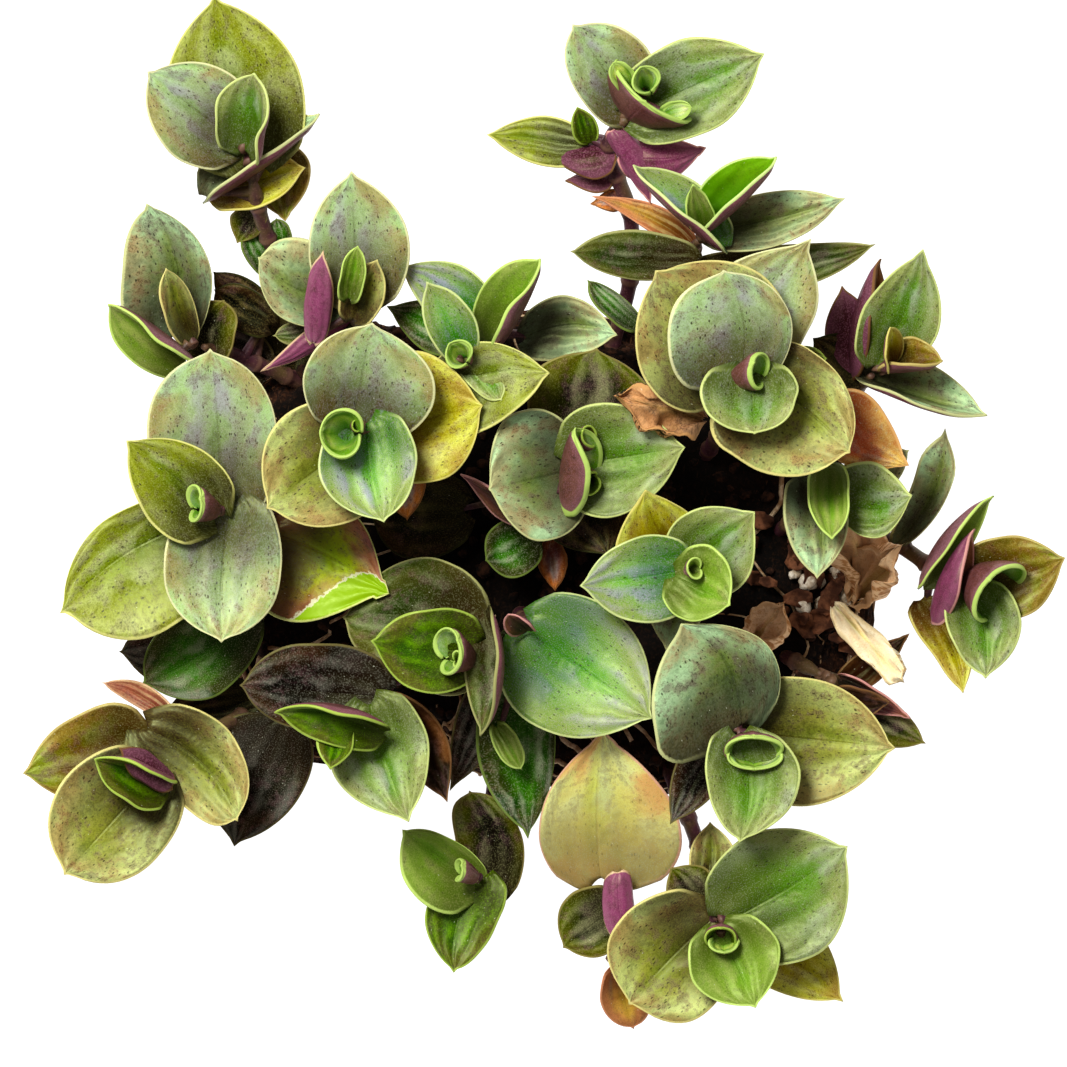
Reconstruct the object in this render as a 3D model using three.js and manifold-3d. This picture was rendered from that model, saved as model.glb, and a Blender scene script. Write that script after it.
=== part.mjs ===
// Creeping inch plant: a lifted clump of short leafy shoots rooted in a low pad of soil.
// Millimetres. +Z is up, and seen from above +X is right and +Y is away from the viewer.
// The origin is in the middle of the pad's flat underside.
import * as THREE from "three";
import { mergeVertices } from "three/addons/utils/BufferGeometryUtils.js";
import Module from "manifold-3d";

const wasm = await Module();
wasm.setup();

const CLEARANCE = 0.3; // gap between pieces that touch
const LEAF_THICKNESS = 1.1;
const STEM_RADIUS = 1.3;
const STEM_SIDES = 6;
const STEM_STEPS = 5; // straight lengths that a bending stem is made of
const PAD_HEIGHT = 16;
const STALK_RADIUS = 0.8;
const STALK_REACH = 0.15; // how far along its blade a leaf's stalk ends
const GRANULE_RADIUS = 1.6;
const SMALLEST_DETAIL = 0.2; // shorter edges are smoothed away

// Blade outlines. widest is where the blade is broadest, as a part of its length.
// point is high for a round end and low for a sharp one.
// heel narrows the base, and lobe reaches back past it.
const OUTLINES = {
  round: { widest: 0.46, point: 3.0, heel: 0.8, lobe: 0.14 },
  heart: { widest: 0.4, point: 2.4, heel: 0.8, lobe: 0.12 },
  oval: { widest: 0.42, point: 2.0, heel: 0.9, lobe: 0.04 },
  lance: { widest: 0.34, point: 1.6, heel: 0.85, lobe: 0.02 },
};

// Plain colour, and roughness, of each kind of surface.
const TONES = {
  sage: [0x7f9268, 0.5],
  silver: [0x8fae92, 0.42],
  olive: [0x8f9143, 0.5],
  green: [0x5b8a3c, 0.42],
  bright: [0x7dba35, 0.4],
  deep: [0x2f5a33, 0.4],
  plum: [0x4a3a38, 0.5],
  magenta: [0x94416e, 0.5],
  yellow: [0xc9bd4c, 0.5],
  rust: [0xa8552a, 0.65],
  tan: [0xc99a6c, 0.8],
  cream: [0xdcc49a, 0.8],
  umber: [0x4a2a1c, 0.8],
  stem: [0x6d3a4a, 0.5],
  soil: [0x2b1d15, 0.95],
  grit: [0xe6e0d2, 0.85],
};

// Each shoot has the place of its head, the bends of its stem from the head down to the soil, and its leaves.
// A leaf starts on the stem, down millimetres below the head, or at a place of its own, and ends at tip.
// wide is its full width laid flat. cup is half the angle that its section curls through, in degrees.
// roll raises the blade's right edge, seen from its base. kind is its outline, oval unless stated.
// face is for an upright leaf, and is the direction its upper side faces, in degrees from +X towards +Y.
const SHOOTS = [
  {
    name: "top_left",
    head: [-47.5, 63.5, 36],
    bends: [[-44, 49, 25], [-37, 38, 18], [-30, 28, 10]],
    leaves: [
      { down: 0.5, tip: [-46, 75.8, 45], wide: 14, cup: 85, roll: 30, kind: "heart", tone: "bright" },
      { at: [-48.5, 65, 34], tip: [-63.2, 76.2, 38], wide: 17, cup: 22, kind: "heart", tone: "sage" },
      { down: 5, tip: [-52.2, 87.8, 36], wide: 22, cup: 16, kind: "heart", tone: "olive" },
      { at: [-53, 57.5, 31], tip: [-35.3, 69.3, 35], wide: 16, cup: 62, roll: 22, tone: "olive" },
      { at: [-52, 56, 27], tip: [-37.8, 60.5, 30], wide: 12, cup: 45, roll: 15, tone: "yellow" },
      { at: [-43, 63, 26], tip: [-41, 51.2, 25], wide: 11, cup: 20, tone: "plum" },
      { down: 13, tip: [-49.3, 47.8, 24], wide: 6, cup: 30, tone: "deep" },
    ],
  },
  {
    name: "left",
    head: [-57.5, 31.5, 30],
    bends: [[-51, 30, 20], [-43, 27, 14], [-37, 24, 9]],
    leaves: [
      { down: 0.5, tip: [-70, 37, 35], wide: 15, cup: 72, roll: 35, kind: "heart", tone: "green" },
      { down: 2, tip: [-60.6, 43.8, 37], wide: 10, cup: 50, roll: -20, tone: "olive" },
      { down: 5, tip: [-64.4, 53.5, 31], wide: 15.5, cup: 20, kind: "heart", tone: "sage" },
      { at: [-55, 29, 23], tip: [-50.5, 38.5, 25], wide: 11, cup: 35, tone: "plum" },
      { at: [-43, 34, 16], tip: [-53, 42, 18], wide: 7, cup: 20, tone: "plum" },
    ],
  },
  {
    name: "upper_left",
    head: [-30.5, 39, 42],
    bends: [[-28, 33, 28], [-24, 29, 19], [-21, 25, 10]],
    leaves: [
      { down: 0.5, tip: [-28.9, 47.3, 47], wide: 6, cup: 80, kind: "heart", tone: "bright" },
      { down: 4, tip: [-29.9, 59.2, 42], wide: 17.5, cup: 18, kind: "heart", tone: "silver" },
      { down: 6, tip: [-45.4, 44, 36], wide: 14, cup: 22, kind: "round", tone: "silver" },
      { at: [-36, 33, 38], tip: [-34.7, 46.3, 46], wide: 9, cup: 60, roll: -110, tone: "magenta" },
      { at: [-29.5, 34, 38], tip: [-26.2, 45, 44], wide: 10, cup: 40, kind: "heart", tone: "olive" },
      {
        at: [-30, 36.6, 33], tip: [-45, 26.8, 30],
        wide: 8, cup: 40, roll: -70, kind: "lance", tone: "magenta",
      },
      { down: 10, tip: [-42.8, 32.8, 31], wide: 5, cup: 25, kind: "round", tone: "deep" },
    ],
  },
  {
    name: "top",
    head: [-7.5, 35, 41],
    bends: [[-7, 31, 26], [-6, 28, 18], [-5, 25, 10]],
    leaves: [
      { down: 1.5, tip: [1.2, 45.2, 49], wide: 14, cup: 75, roll: 35, kind: "heart", tone: "bright" },
      { down: 6, tip: [-23.6, 43.2, 37], wide: 16, cup: 20, tone: "silver" },
      { down: 7, tip: [12.9, 33, 36], wide: 12.5, cup: 20, kind: "heart", tone: "deep" },
      { down: 9, tip: [-24.5, 37, 31], wide: 9, cup: 20, tone: "plum" },
    ],
  },
  {
    name: "inner_top",
    head: [-12.5, 28.5, 47],
    bends: [[-12, 26, 31], [-11, 23, 20], [-9, 19, 10]],
    leaves: [
      { down: 0.5, tip: [-15, 30.2, 52], wide: 9, cup: 120, kind: "heart", tone: "bright" },
      { down: 2.5, tip: [-17.9, 41.5, 49], wide: 9.5, cup: 35, tone: "silver" },
      { down: 4, tip: [-5.4, 21.6, 46], wide: 6.5, cup: 22, kind: "round", tone: "sage" },
      { down: 3, tip: [2.4, 26.2, 50.5], wide: 14, cup: 18, kind: "heart", tone: "yellow" },
    ],
  },
  {
    name: "crown_left",
    head: [-28, 17.5, 54],
    bends: [[-26, 16, 36], [-24, 13, 22], [-22, 10, 10]],
    leaves: [
      {
        at: [-32, 16.4, 49], tip: [-34.8, 16.4, 60],
        wide: 20, cup: 135, face: 0, kind: "heart", tone: "bright",
      },
      { down: 4, tip: [-24.3, 1.9, 54], wide: 18, cup: 28, kind: "round", tone: "green" },
      { down: 7, tip: [-26.3, 35, 53], wide: 23, cup: 22, kind: "round", tone: "sage" },
      { down: 9, tip: [-44.2, 4, 48], wide: 21, cup: 22, kind: "round", tone: "olive" },
      { down: 11, tip: [-8.2, 20.8, 47], wide: 22, cup: 20, kind: "heart", tone: "olive" },
      { down: 14, tip: [-20.5, 2.3, 41], wide: 7, cup: 25, tone: "rust" },
    ],
  },
  {
    name: "broad_left",
    head: [-53, 4, 46],
    bends: [[-47, 3, 30], [-41, 2, 19], [-36, 1, 10]],
    leaves: [
      { at: [-54, 4.5, 44], tip: [-57, 5, 50.5], wide: 10, cup: 130, face: 180, tone: "bright" },
      {
        at: [-50.5, 4.5, 42], tip: [-67.2, 15.4, 46],
        wide: 17.5, cup: 22, kind: "round", tone: "green",
      },
      { down: 6, tip: [-51.2, -18, 43], wide: 21, cup: 18, kind: "round", tone: "sage" },
      { down: 9, tip: [-52.4, 30.2, 41], wide: 24, cup: 18, kind: "round", tone: "sage" },
      { down: 12, tip: [-78.3, -13.1, 35], wide: 20, cup: 18, kind: "heart", tone: "green" },
      { down: 15, tip: [-24.8, -10.9, 34], wide: 20, cup: 18, kind: "heart", tone: "olive" },
      { at: [-46, -14, 24], tip: [-64.3, -26, 22], wide: 14, cup: 20, kind: "round", tone: "deep" },
      { at: [-50, -11, 18], tip: [-67.6, -21, 15], wide: 11, cup: 15, tone: "plum" },
    ],
  },
  {
    name: "centre",
    head: [5.5, 11.5, 45],
    bends: [[6, 10, 28], [6, 8, 19], [5, 6, 10]],
    leaves: [
      {
        at: [2.5, 11.5, 38], tip: [6.5, 11.5, 50],
        wide: 14, cup: 70, face: 0, kind: "round", tone: "bright",
      },
      { down: 4, tip: [25.4, 14.3, 45], wide: 20, cup: 20, kind: "heart", tone: "green" },
      { down: 6, tip: [-7.3, 7.1, 44], wide: 22, cup: 20, kind: "round", tone: "sage" },
      { down: 10, tip: [10, 30.2, 39], wide: 20, cup: 18, kind: "heart", tone: "plum" },
      { down: 13, tip: [13, -4, 34], wide: 17, cup: 18, kind: "heart", tone: "deep" },
      { at: [0, -1, 25], tip: [-8, -4.5, 27], wide: 10, cup: 20, kind: "round", tone: "deep" },
      {
        at: [-2, 1, 33], tip: [-12, 10, 33],
        wide: 7, cup: 40, roll: 60, kind: "lance", tone: "magenta",
      },
      { at: [3, -1, 21], tip: [3.6, -9.6, 21], wide: 5, cup: 30, ripple: 0.3, tone: "rust" },
      { at: [-12, 4, 22], tip: [-27, 3, 22], wide: 15, cup: 15, kind: "round", tone: "deep" },
    ],
  },
  {
    name: "crown_right",
    head: [35.5, 25.5, 58],
    bends: [[34, 22, 38], [31, 17, 24], [28, 12, 10]],
    leaves: [
      { at: [34, 25.5, 53], tip: [41.2, 27.8, 62], wide: 15, cup: 115, tone: "bright" },
      { down: 4, tip: [37, 16.7, 59], wide: 17.5, cup: 30, kind: "round", tone: "green" },
      { down: 6, tip: [32, 42.7, 57], wide: 22, cup: 20, kind: "round", tone: "sage" },
      { down: 8, tip: [52.3, 13.6, 53], wide: 22, cup: 18, kind: "round", tone: "olive" },
      { down: 11, tip: [20, 42.6, 51], wide: 22, cup: 18, kind: "round", tone: "olive" },
      { down: 14, tip: [45.3, 48.2, 47], wide: 17, cup: 16, kind: "heart", tone: "sage" },
      { down: 17, tip: [61.6, 13.2, 40], wide: 14, cup: 16, tone: "rust" },
      { at: [20, 34, 33], tip: [9.2, 41.2, 33], wide: 8, cup: 40, roll: -20, tone: "deep" },
      { at: [41, 29, 39], tip: [48.2, 29.8, 40], wide: 6, cup: 20, kind: "round", tone: "deep" },
      { at: [28, 19, 43], tip: [13.6, 22.5, 49], wide: 9, cup: 60, ripple: 0.6, tone: "rust" },
    ],
  },
  {
    name: "far_top",
    head: [17.5, 71, 38],
    bends: [[12.5, 64, 29], [16, 53, 23], [16, 42, 17], [13, 31, 10]],
    leaves: [
      { at: [17.5, 71.5, 36], tip: [20, 74.5, 45], wide: 10, cup: 120, face: 200, tone: "bright" },
      {
        at: [16.2, 70, 33], tip: [18.5, 72.5, 44],
        wide: 18, cup: 70, face: 55, kind: "round", tone: "bright",
      },
      { down: 4, tip: [37.7, 79, 40], wide: 16, cup: 22, kind: "heart", tone: "green" },
      { down: 6, tip: [6.6, 83.9, 38], wide: 15.5, cup: 22, kind: "round", tone: "silver" },
      { at: [14, 65, 29], tip: [28.3, 63.8, 31], wide: 12, cup: 35, roll: 50, tone: "plum" },
      { at: [12, 65, 28], tip: [-7.1, 65.5, 27], wide: 9, cup: 25, kind: "lance", tone: "yellow" },
      { at: [10.5, 64.5, 29], tip: [8.4, 70.4, 32], wide: 4.5, cup: 40, tone: "deep" },
    ],
  },
  {
    name: "long_top",
    head: [28, 50.5, 40],
    bends: [[26, 45, 27], [24, 37, 19], [22, 31, 10]],
    leaves: [
      { down: 0, tip: [26.2, 57.4, 47], wide: 6, cup: 60, kind: "lance", tone: "olive" },
      { down: 1, tip: [39.9, 61.9, 46], wide: 14, cup: 70, roll: 35, tone: "bright" },
      { at: [30, 48.3, 38], tip: [16.3, 60.7, 43], wide: 14, cup: 65, roll: -38, tone: "silver" },
      { down: 5, tip: [50.2, 55.4, 37], wide: 10.5, cup: 22, tone: "olive" },
      { down: 7, tip: [7.1, 46, 34], wide: 9, cup: 22, tone: "deep" },
      { down: 12, tip: [55.3, 47.3, 29], wide: 9, cup: 18, tone: "plum" },
      { down: 10, tip: [9.7, 56.4, 29], wide: 5, cup: 30, kind: "lance", tone: "magenta" },
    ],
  },
  {
    name: "right_upper",
    head: [58, 27.5, 36],
    bends: [[53, 24, 24], [47, 19, 16], [41, 15, 9]],
    leaves: [
      { down: 0, tip: [58.6, 34, 42], wide: 8, cup: 45, roll: -60, kind: "heart", tone: "olive" },
      { down: 1, tip: [67.4, 28.6, 39], wide: 9, cup: 60, roll: 60, kind: "heart", tone: "plum" },
      { down: 3, tip: [64.7, 46.8, 41], wide: 13, cup: 30, tone: "green" },
      { at: [55.5, 26.5, 31], tip: [60.3, 44.3, 38], wide: 12, cup: 55, roll: -50, tone: "plum" },
      { down: 6, tip: [74.4, 19.6, 32], wide: 10, cup: 50, roll: 28, tone: "silver" },
      { down: 9, tip: [46, 32.5, 31], wide: 10, cup: 20, tone: "plum" },
    ],
  },
  {
    name: "right_inner",
    head: [49, 7, 40],
    bends: [[47, 5, 28], [43, 2, 18], [40, 0, 10]],
    leaves: [
      { down: 0, tip: [48.8, -1.6, 46], wide: 11, cup: 80, roll: -20, tone: "bright" },
      { down: 3, tip: [62.3, 6.1, 41], wide: 13, cup: 22, tone: "green" },
      { down: 4, tip: [47, -7, 40], wide: 11, cup: 30, tone: "silver" },
      { down: 7, tip: [61.3, 12.7, 36], wide: 8, cup: 20, tone: "sage" },
    ],
  },
  {
    name: "far_right",
    head: [74, -10.5, 32],
    bends: [[68, -7, 20], [59, -1, 13], [50, 1, 8]],
    leaves: [
      { at: [73.6, -9.3, 28.6], tip: [80.8, -6.5, 38], wide: 17, cup: 115, face: 320, tone: "bright" },
      { down: 3, tip: [74.4, -24.4, 32], wide: 13.5, cup: 28, kind: "heart", tone: "silver" },
      { down: 5, tip: [87.4, -4.2, 31], wide: 14, cup: 25, kind: "heart", tone: "olive" },
      { at: [67.4, -12.7, 27.3], tip: [73, 0.6, 33], wide: 11, cup: 60, roll: -80, tone: "magenta" },
      { at: [66.3, -6.2, 23.4], tip: [76.1, 5.9, 31], wide: 11, cup: 60, roll: -35, tone: "bright" },
      { at: [62, -4, 19], tip: [67.5, 17.3, 24], wide: 12, cup: 25, tone: "plum" },
      { at: [65, -10, 16], tip: [71, -25.9, 19], wide: 8, cup: 40, kind: "lance", tone: "rust" },
    ],
  },
  {
    name: "inner_right",
    head: [25.5, -6.5, 50],
    bends: [[25, -5, 33], [24, -4, 21], [22, -3, 10]],
    leaves: [
      { at: [25.2, -6, 47], tip: [25, -6, 54], wide: 8.5, cup: 135, face: 0, tone: "bright" },
      { down: 2.5, tip: [33, -12.3, 52], wide: 13.5, cup: 25, kind: "round", tone: "bright" },
      { down: 5, tip: [7.6, -8.9, 49], wide: 16.5, cup: 20, kind: "heart", tone: "green" },
      { down: 7, tip: [37, 4, 47], wide: 15, cup: 20, kind: "heart", tone: "silver" },
      { down: 9, tip: [18.2, 7.7, 49], wide: 11.5, cup: 20, tone: "yellow" },
      { down: 13, tip: [21.4, -19.8, 38], wide: 10, cup: 20, tone: "sage" },
    ],
  },
  {
    name: "glossy",
    head: [-1, -16, 40],
    bends: [[-1, -15, 27], [-2, -14, 19], [-2, -13, 10]],
    leaves: [
      { down: 0, tip: [-4.2, -13.3, 46], wide: 6, cup: 70, roll: 40, tone: "magenta" },
      { down: 2, tip: [19.8, -30.4, 42], wide: 23, cup: 14, kind: "heart", tone: "green" },
      { down: 9, tip: [-0.5, -49.4, 27], wide: 14, cup: 20, tone: "deep" },
      { down: 8, tip: [-2.3, -38.9, 33], wide: 6, cup: 30, kind: "round", tone: "bright" },
      { down: 12, tip: [-13.6, -42, 24], wide: 9, cup: 20, tone: "plum" },
    ],
  },
  {
    name: "lower_centre",
    head: [-11.5, -19, 50],
    bends: [[-11, -17, 34], [-11, -16, 22], [-10, -14, 10]],
    leaves: [
      { down: 0.5, tip: [-13.6, -26.9, 56], wide: 15, cup: 100, tone: "bright" },
      { down: 3, tip: [-26.8, -17.5, 52], wide: 15, cup: 25, kind: "heart", tone: "green" },
      { at: [-8, -14, 45], tip: [-8.8, -33.3, 49], wide: 13, cup: 60, roll: -30, tone: "olive" },
      { down: 10, tip: [-29.8, -9.8, 31], wide: 20, cup: 16, kind: "round", tone: "plum" },
    ],
  },
  {
    name: "lower_left",
    head: [-28.5, -30.5, 44],
    bends: [[-26, -27, 29], [-22, -23, 19], [-18, -20, 10]],
    leaves: [
      { down: 0, tip: [-33.4, -38.7, 49], wide: 8, cup: 35, tone: "bright" },
      { at: [-25.5, -31.5, 41], tip: [-42, -29.2, 46], wide: 15, cup: 72, roll: 35, tone: "green" },
      { down: 5, tip: [-20.4, -47.3, 43], wide: 16, cup: 22, kind: "heart", tone: "silver" },
      { down: 7, tip: [-48.2, -24.8, 40], wide: 15, cup: 22, kind: "round", tone: "plum" },
      { down: 9, tip: [-14.7, -44.8, 36], wide: 9, cup: 25, tone: "rust" },
    ],
  },
  {
    name: "far_left_low",
    head: [-64.5, -40, 32],
    bends: [[-57, -35, 22], [-48, -30, 15], [-41, -26, 9]],
    leaves: [
      { at: [-63.5, -39.5, 29], tip: [-72.2, -37.8, 37], wide: 17, cup: 85, face: 235, tone: "green" },
      { down: 3, tip: [-77.7, -55.6, 33], wide: 19.5, cup: 22, kind: "round", tone: "silver" },
      { down: 5, tip: [-48.3, -46.8, 31], wide: 20, cup: 22, kind: "round", tone: "olive" },
      { down: 7, tip: [-83.8, -38.7, 28], wide: 16, cup: 22, kind: "heart", tone: "rust" },
      { at: [-45, -31, 17], tip: [-50.4, -50.8, 16], wide: 15, cup: 16, tone: "plum" },
      { down: 10, tip: [-70.9, -25.2, 22], wide: 6, cup: 25, tone: "rust" },
    ],
  },
  {
    name: "small_bottom",
    head: [-9.5, -57, 26],
    bends: [[-8, -49, 19], [-7, -42, 14], [-6, -35, 9]],
    leaves: [
      { down: 0.5, tip: [-12.4, -54, 30], wide: 6, cup: 90, tone: "bright" },
      {
        at: [-8, -57.5, 24], tip: [-21.8, -50.8, 28],
        wide: 13.5, cup: 25, kind: "round", tone: "bright",
      },
      { down: 3, tip: [-12.1, -72.1, 25], wide: 12.5, cup: 22, kind: "heart", tone: "deep" },
      { at: [-5.5, -58, 20], tip: [-7, -42.7, 24], wide: 12.5, cup: 22, kind: "round", tone: "plum" },
    ],
  },
  {
    name: "yellow_bottom",
    head: [12.8, -70, 24],
    bends: [[14, -57, 25], [13, -45, 19], [10, -34, 9]],
    leaves: [
      { down: 10, tip: [11.9, -32.5, 36], wide: 25, cup: 16, kind: "heart", tone: "yellow" },
      { at: [13.5, -63, 24], tip: [5.5, -69, 22], wide: 11, cup: 25, kind: "round", tone: "deep" },
      { down: 0.5, tip: [16, -81.4, 18], wide: 8.5, cup: 25, kind: "round", tone: "rust" },
    ],
  },
  {
    name: "lower_right",
    head: [34, -34, 50],
    bends: [[32, -30, 33], [29, -26, 21], [26, -23, 10]],
    leaves: [
      { at: [33, -34, 46], tip: [40.9, -35.8, 55], wide: 16, cup: 110, face: 270, tone: "bright" },
      { down: 3, tip: [33.7, -50.7, 50], wide: 18, cup: 26, kind: "heart", tone: "green" },
      { down: 5, tip: [23.5, -15.2, 50], wide: 22, cup: 20, kind: "round", tone: "sage" },
      { down: 8, tip: [59.8, -34.6, 44], wide: 22, cup: 18, kind: "heart", tone: "sage" },
      { down: 14, tip: [22.5, -48, 38], wide: 9, cup: 25, tone: "umber" },
    ],
  },
  {
    name: "bottom",
    head: [31, -66, 42],
    bends: [[29, -57, 28], [26, -48, 18], [22, -38, 9]],
    leaves: [
      { at: [31, -66, 39], tip: [31.2, -69.5, 46], wide: 8, cup: 130, face: 270, tone: "bright" },
      { down: 2, tip: [36.6, -78.1, 43], wide: 16, cup: 25, kind: "heart", tone: "bright" },
      { down: 4, tip: [51.6, -51.9, 43], wide: 21, cup: 18, kind: "heart", tone: "green" },
      { down: 6, tip: [16.2, -77, 37], wide: 21, cup: 22, kind: "round", tone: "sage" },
      { down: 9, tip: [50.8, -77, 32], wide: 15, cup: 18, kind: "heart", tone: "olive" },
      { down: 12, tip: [22.5, -55, 33], wide: 8, cup: 20, tone: "plum" },
      { down: 15, tip: [29.3, -47.9, 28], wide: 8, cup: 20, tone: "sage" },
    ],
  },
  {
    name: "dark_right",
    head: [51, -25, 24],
    bends: [[47, -23, 19], [43, -21, 15], [39, -19, 9]],
    leaves: [
      { down: 0.5, tip: [59.3, -27.8, 25], wide: 8, cup: 50, roll: -30, kind: "lance", tone: "plum" },
      { down: 2, tip: [62.5, -31.2, 22], wide: 8, cup: 50, roll: -40, kind: "lance", tone: "magenta" },
      { down: 3.5, tip: [64.2, -34.4, 18], wide: 9, cup: 22, tone: "plum" },
      { down: 2, tip: [62.5, -17, 20], wide: 6, cup: 25, kind: "lance", tone: "umber" },
    ],
  },
];

// Dead leaves lie on the soil between the shoots. at is the place of the base and its height above the
// soil. ripple is the height of their crumpling.
const DEAD_LEAVES = [
  {
    name: "crumpled_leaf_a", at: [49.5, -6, 1.8], tip: [50.5, 4.5, 24],
    wide: 8, cup: 60, ripple: 0.8, tone: "tan",
  },
  {
    name: "crumpled_leaf_b", at: [54, -9, 1.8], tip: [59.5, -2, 22],
    wide: 9, cup: 50, ripple: 0.8, tone: "tan",
  },
  {
    name: "papery_strip", at: [50, -13, 1.05], tip: [61, -26, 14],
    wide: 7, cup: 25, ripple: 0.5, tone: "cream",
  },
  {
    name: "curled_leaf", at: [36, -19, -0.3], tip: [41, -12, 22],
    wide: 9, cup: 110, ripple: 0.6, tone: "tan",
  },
];

// White granules in the soil, by the place of each one's middle.
const GRANULES = [[45.6, -8.2], [52, -10.4], [44.8, -12.2]];

// The pad's outline, as its radius every 20 degrees from +X round to +Y.
const PAD_RADII = [58, 52, 45, 40, 38, 38, 41, 54, 55, 50, 57, 58, 41, 42, 44, 50, 55, 60];
// The pad's side, as part of its radius and part of its height, from the underside up to the middle.
const PAD_SIDE = [[0, 0], [0.5, 0], [0.94, 0], [1, 0.25], [0.97, 0.6], [0.86, 0.86], [0.55, 0.97], [0, 1]];

const UP = new THREE.Vector3(0, 0, 1);
const radians = THREE.MathUtils.degToRad;
const vector = (list) => new THREE.Vector3(...list);
const level = (azimuth) => new THREE.Vector3(Math.cos(azimuth), Math.sin(azimuth), 0);

function smoothStep(t) {
  return t * t * (3 - 2 * t);
}

function padRadius(angle) {
  const turns = (((angle / (2 * Math.PI)) % 1) + 1) % 1;
  const place = turns * PAD_RADII.length;
  const first = Math.floor(place) % PAD_RADII.length;
  const next = (first + 1) % PAD_RADII.length;
  return THREE.MathUtils.lerp(PAD_RADII[first], PAD_RADII[next], smoothStep(place - Math.floor(place)));
}

// The pad's surface height at a place on its upper side.
function padTop(x, y) {
  const angle = Math.atan2(y, x);
  const out = Math.hypot(x, y) / padRadius(angle);
  const upper = PAD_SIDE.slice(3);
  const outer = upper.findLastIndex(([reach]) => reach >= out);
  const [near, low] = upper[Math.max(0, outer)];
  const [far, high] = upper[Math.max(0, outer) + 1];
  return PAD_HEIGHT * THREE.MathUtils.mapLinear(out, near, far, low, high) * padLump(angle, out);
}

function padLump(angle, out) {
  return 1 + 0.07 * Math.sin(5 * angle + 6 * out);
}

// A closed geometry with only its shared corners, as a solid that can be joined and cut.
function toSolid(geometry) {
  const bare = geometry.clone();
  bare.deleteAttribute("normal");
  bare.deleteAttribute("uv");
  const merged = mergeVertices(bare, 1e-3);
  return new wasm.Manifold(
    new wasm.Mesh({
      numProp: 3,
      vertProperties: new Float32Array(merged.attributes.position.array),
      triVerts: new Uint32Array(merged.index.array),
    }),
  );
}

function toGeometry(solid) {
  const mesh = solid.getMesh();
  const geometry = new THREE.BufferGeometry();
  geometry.setAttribute("position", new THREE.BufferAttribute(mesh.vertProperties, mesh.numProp));
  geometry.setIndex(new THREE.BufferAttribute(mesh.triVerts, 1));
  geometry.computeVertexNormals();
  return geometry;
}

// Half the blade's width at a place along it, as part of half its full width.
function bladeWidth(outline, along) {
  if (along < outline.widest) {
    const heel = (outline.heel * (outline.widest - along)) / outline.widest;
    return Math.sqrt(1 - heel * heel);
  }
  const towardsTip = (along - outline.widest) / (1 - outline.widest);
  return 1 - towardsTip ** outline.point;
}

// The blade's surface: a place along it from 0 to 1, across it from -1 to 1, and off it in millimetres.
function bladeSurface(leaf, base) {
  const outline = OUTLINES[leaf.kind ?? "oval"];
  const tip = vector(leaf.tip);
  const run = tip.clone().sub(base);
  const length = run.length();
  const ahead = run.clone().normalize();
  const facing = leaf.face === undefined ? UP : level(radians(leaf.face));
  const side = ahead.clone().cross(facing).normalize();
  side.applyAxisAngle(ahead, -radians(leaf.roll ?? 0));
  const inward = side.clone().cross(ahead);
  const curl = radians(leaf.cup);
  const droop = 0.2 * length;
  return (along, across, off) => {
    const behind = Math.max(0, 1 - along / outline.widest);
    const back = outline.lobe * length * Math.abs(across) ** 1.5 * behind ** 2;
    const radius = (leaf.wide / 2 / curl) * (0.8 + 0.4 * along);
    const turn = (across * (leaf.wide / 2) * bladeWidth(outline, along)) / radius;
    const ripple = (leaf.ripple ?? 0) * Math.sin(9 * along + 5 * across) * Math.sin(7 * across - 4 * along);
    const lift = off + ripple;
    const up = radius - (radius - lift) * Math.cos(turn) - droop * along * (1 - along);
    return base
      .clone()
      .addScaledVector(ahead, along * length - back)
      .addScaledVector(inward, up)
      .addScaledVector(side, (radius - lift) * Math.sin(turn));
  };
}

// A leaf blade as a closed solid, thick in the middle and thin at its rim.
function leafSolid(leaf, base) {
  const surface = bladeSurface(leaf, base);
  const rows = leaf.wide > 16 ? 4 : 3;
  const columns = leaf.wide < 9 ? 2 : leaf.cup > 65 ? 6 : 4;
  const points = [];
  const corner = new Map();
  const place = (row, column, face) => {
    const rim = row === 0 || column === 0 || column === columns;
    const key = row === rows ? "tip" : `${row},${column},${rim ? 0 : face}`;
    if (!corner.has(key)) {
      const across = row === rows ? 0 : (2 * column) / columns - 1;
      const off = key === "tip" || rim ? 0 : (face * LEAF_THICKNESS) / 2;
      corner.set(key, points.length / 3);
      points.push(...surface(row / rows, across, off).toArray());
    }
    return corner.get(key);
  };
  const faces = [];
  for (const face of [1, -1]) {
    const add = (a, b, c) => faces.push(...(face === 1 ? [a, b, c] : [a, c, b]));
    for (let row = 0; row < rows; row++) {
      for (let column = 0; column < columns; column++) {
        const near = place(row, column, face);
        const nearNext = place(row, column + 1, face);
        const far = place(row + 1, column, face);
        const farNext = place(row + 1, column + 1, face);
        if (row === rows - 1) {
          add(near, nearNext, far);
        } else if (column < columns / 2) {
          add(near, nearNext, farNext);
          add(near, farNext, far);
        } else {
          add(near, nearNext, far);
          add(nearNext, farNext, far);
        }
      }
    }
  }
  const geometry = new THREE.BufferGeometry();
  geometry.setAttribute("position", new THREE.Float32BufferAttribute(points, 3));
  geometry.setIndex(faces);
  return toSolid(geometry);
}

// A round bar along a smooth line through the given places.
function barSolid(places, radius, steps) {
  const section = new THREE.Shape();
  section.absarc(0, 0, radius, 0, 2 * Math.PI);
  const path = new THREE.CatmullRomCurve3(places);
  const settings = { steps, extrudePath: path, curveSegments: STEM_SIDES / 2, bevelEnabled: false };
  return toSolid(new THREE.ExtrudeGeometry(section, settings));
}

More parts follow.
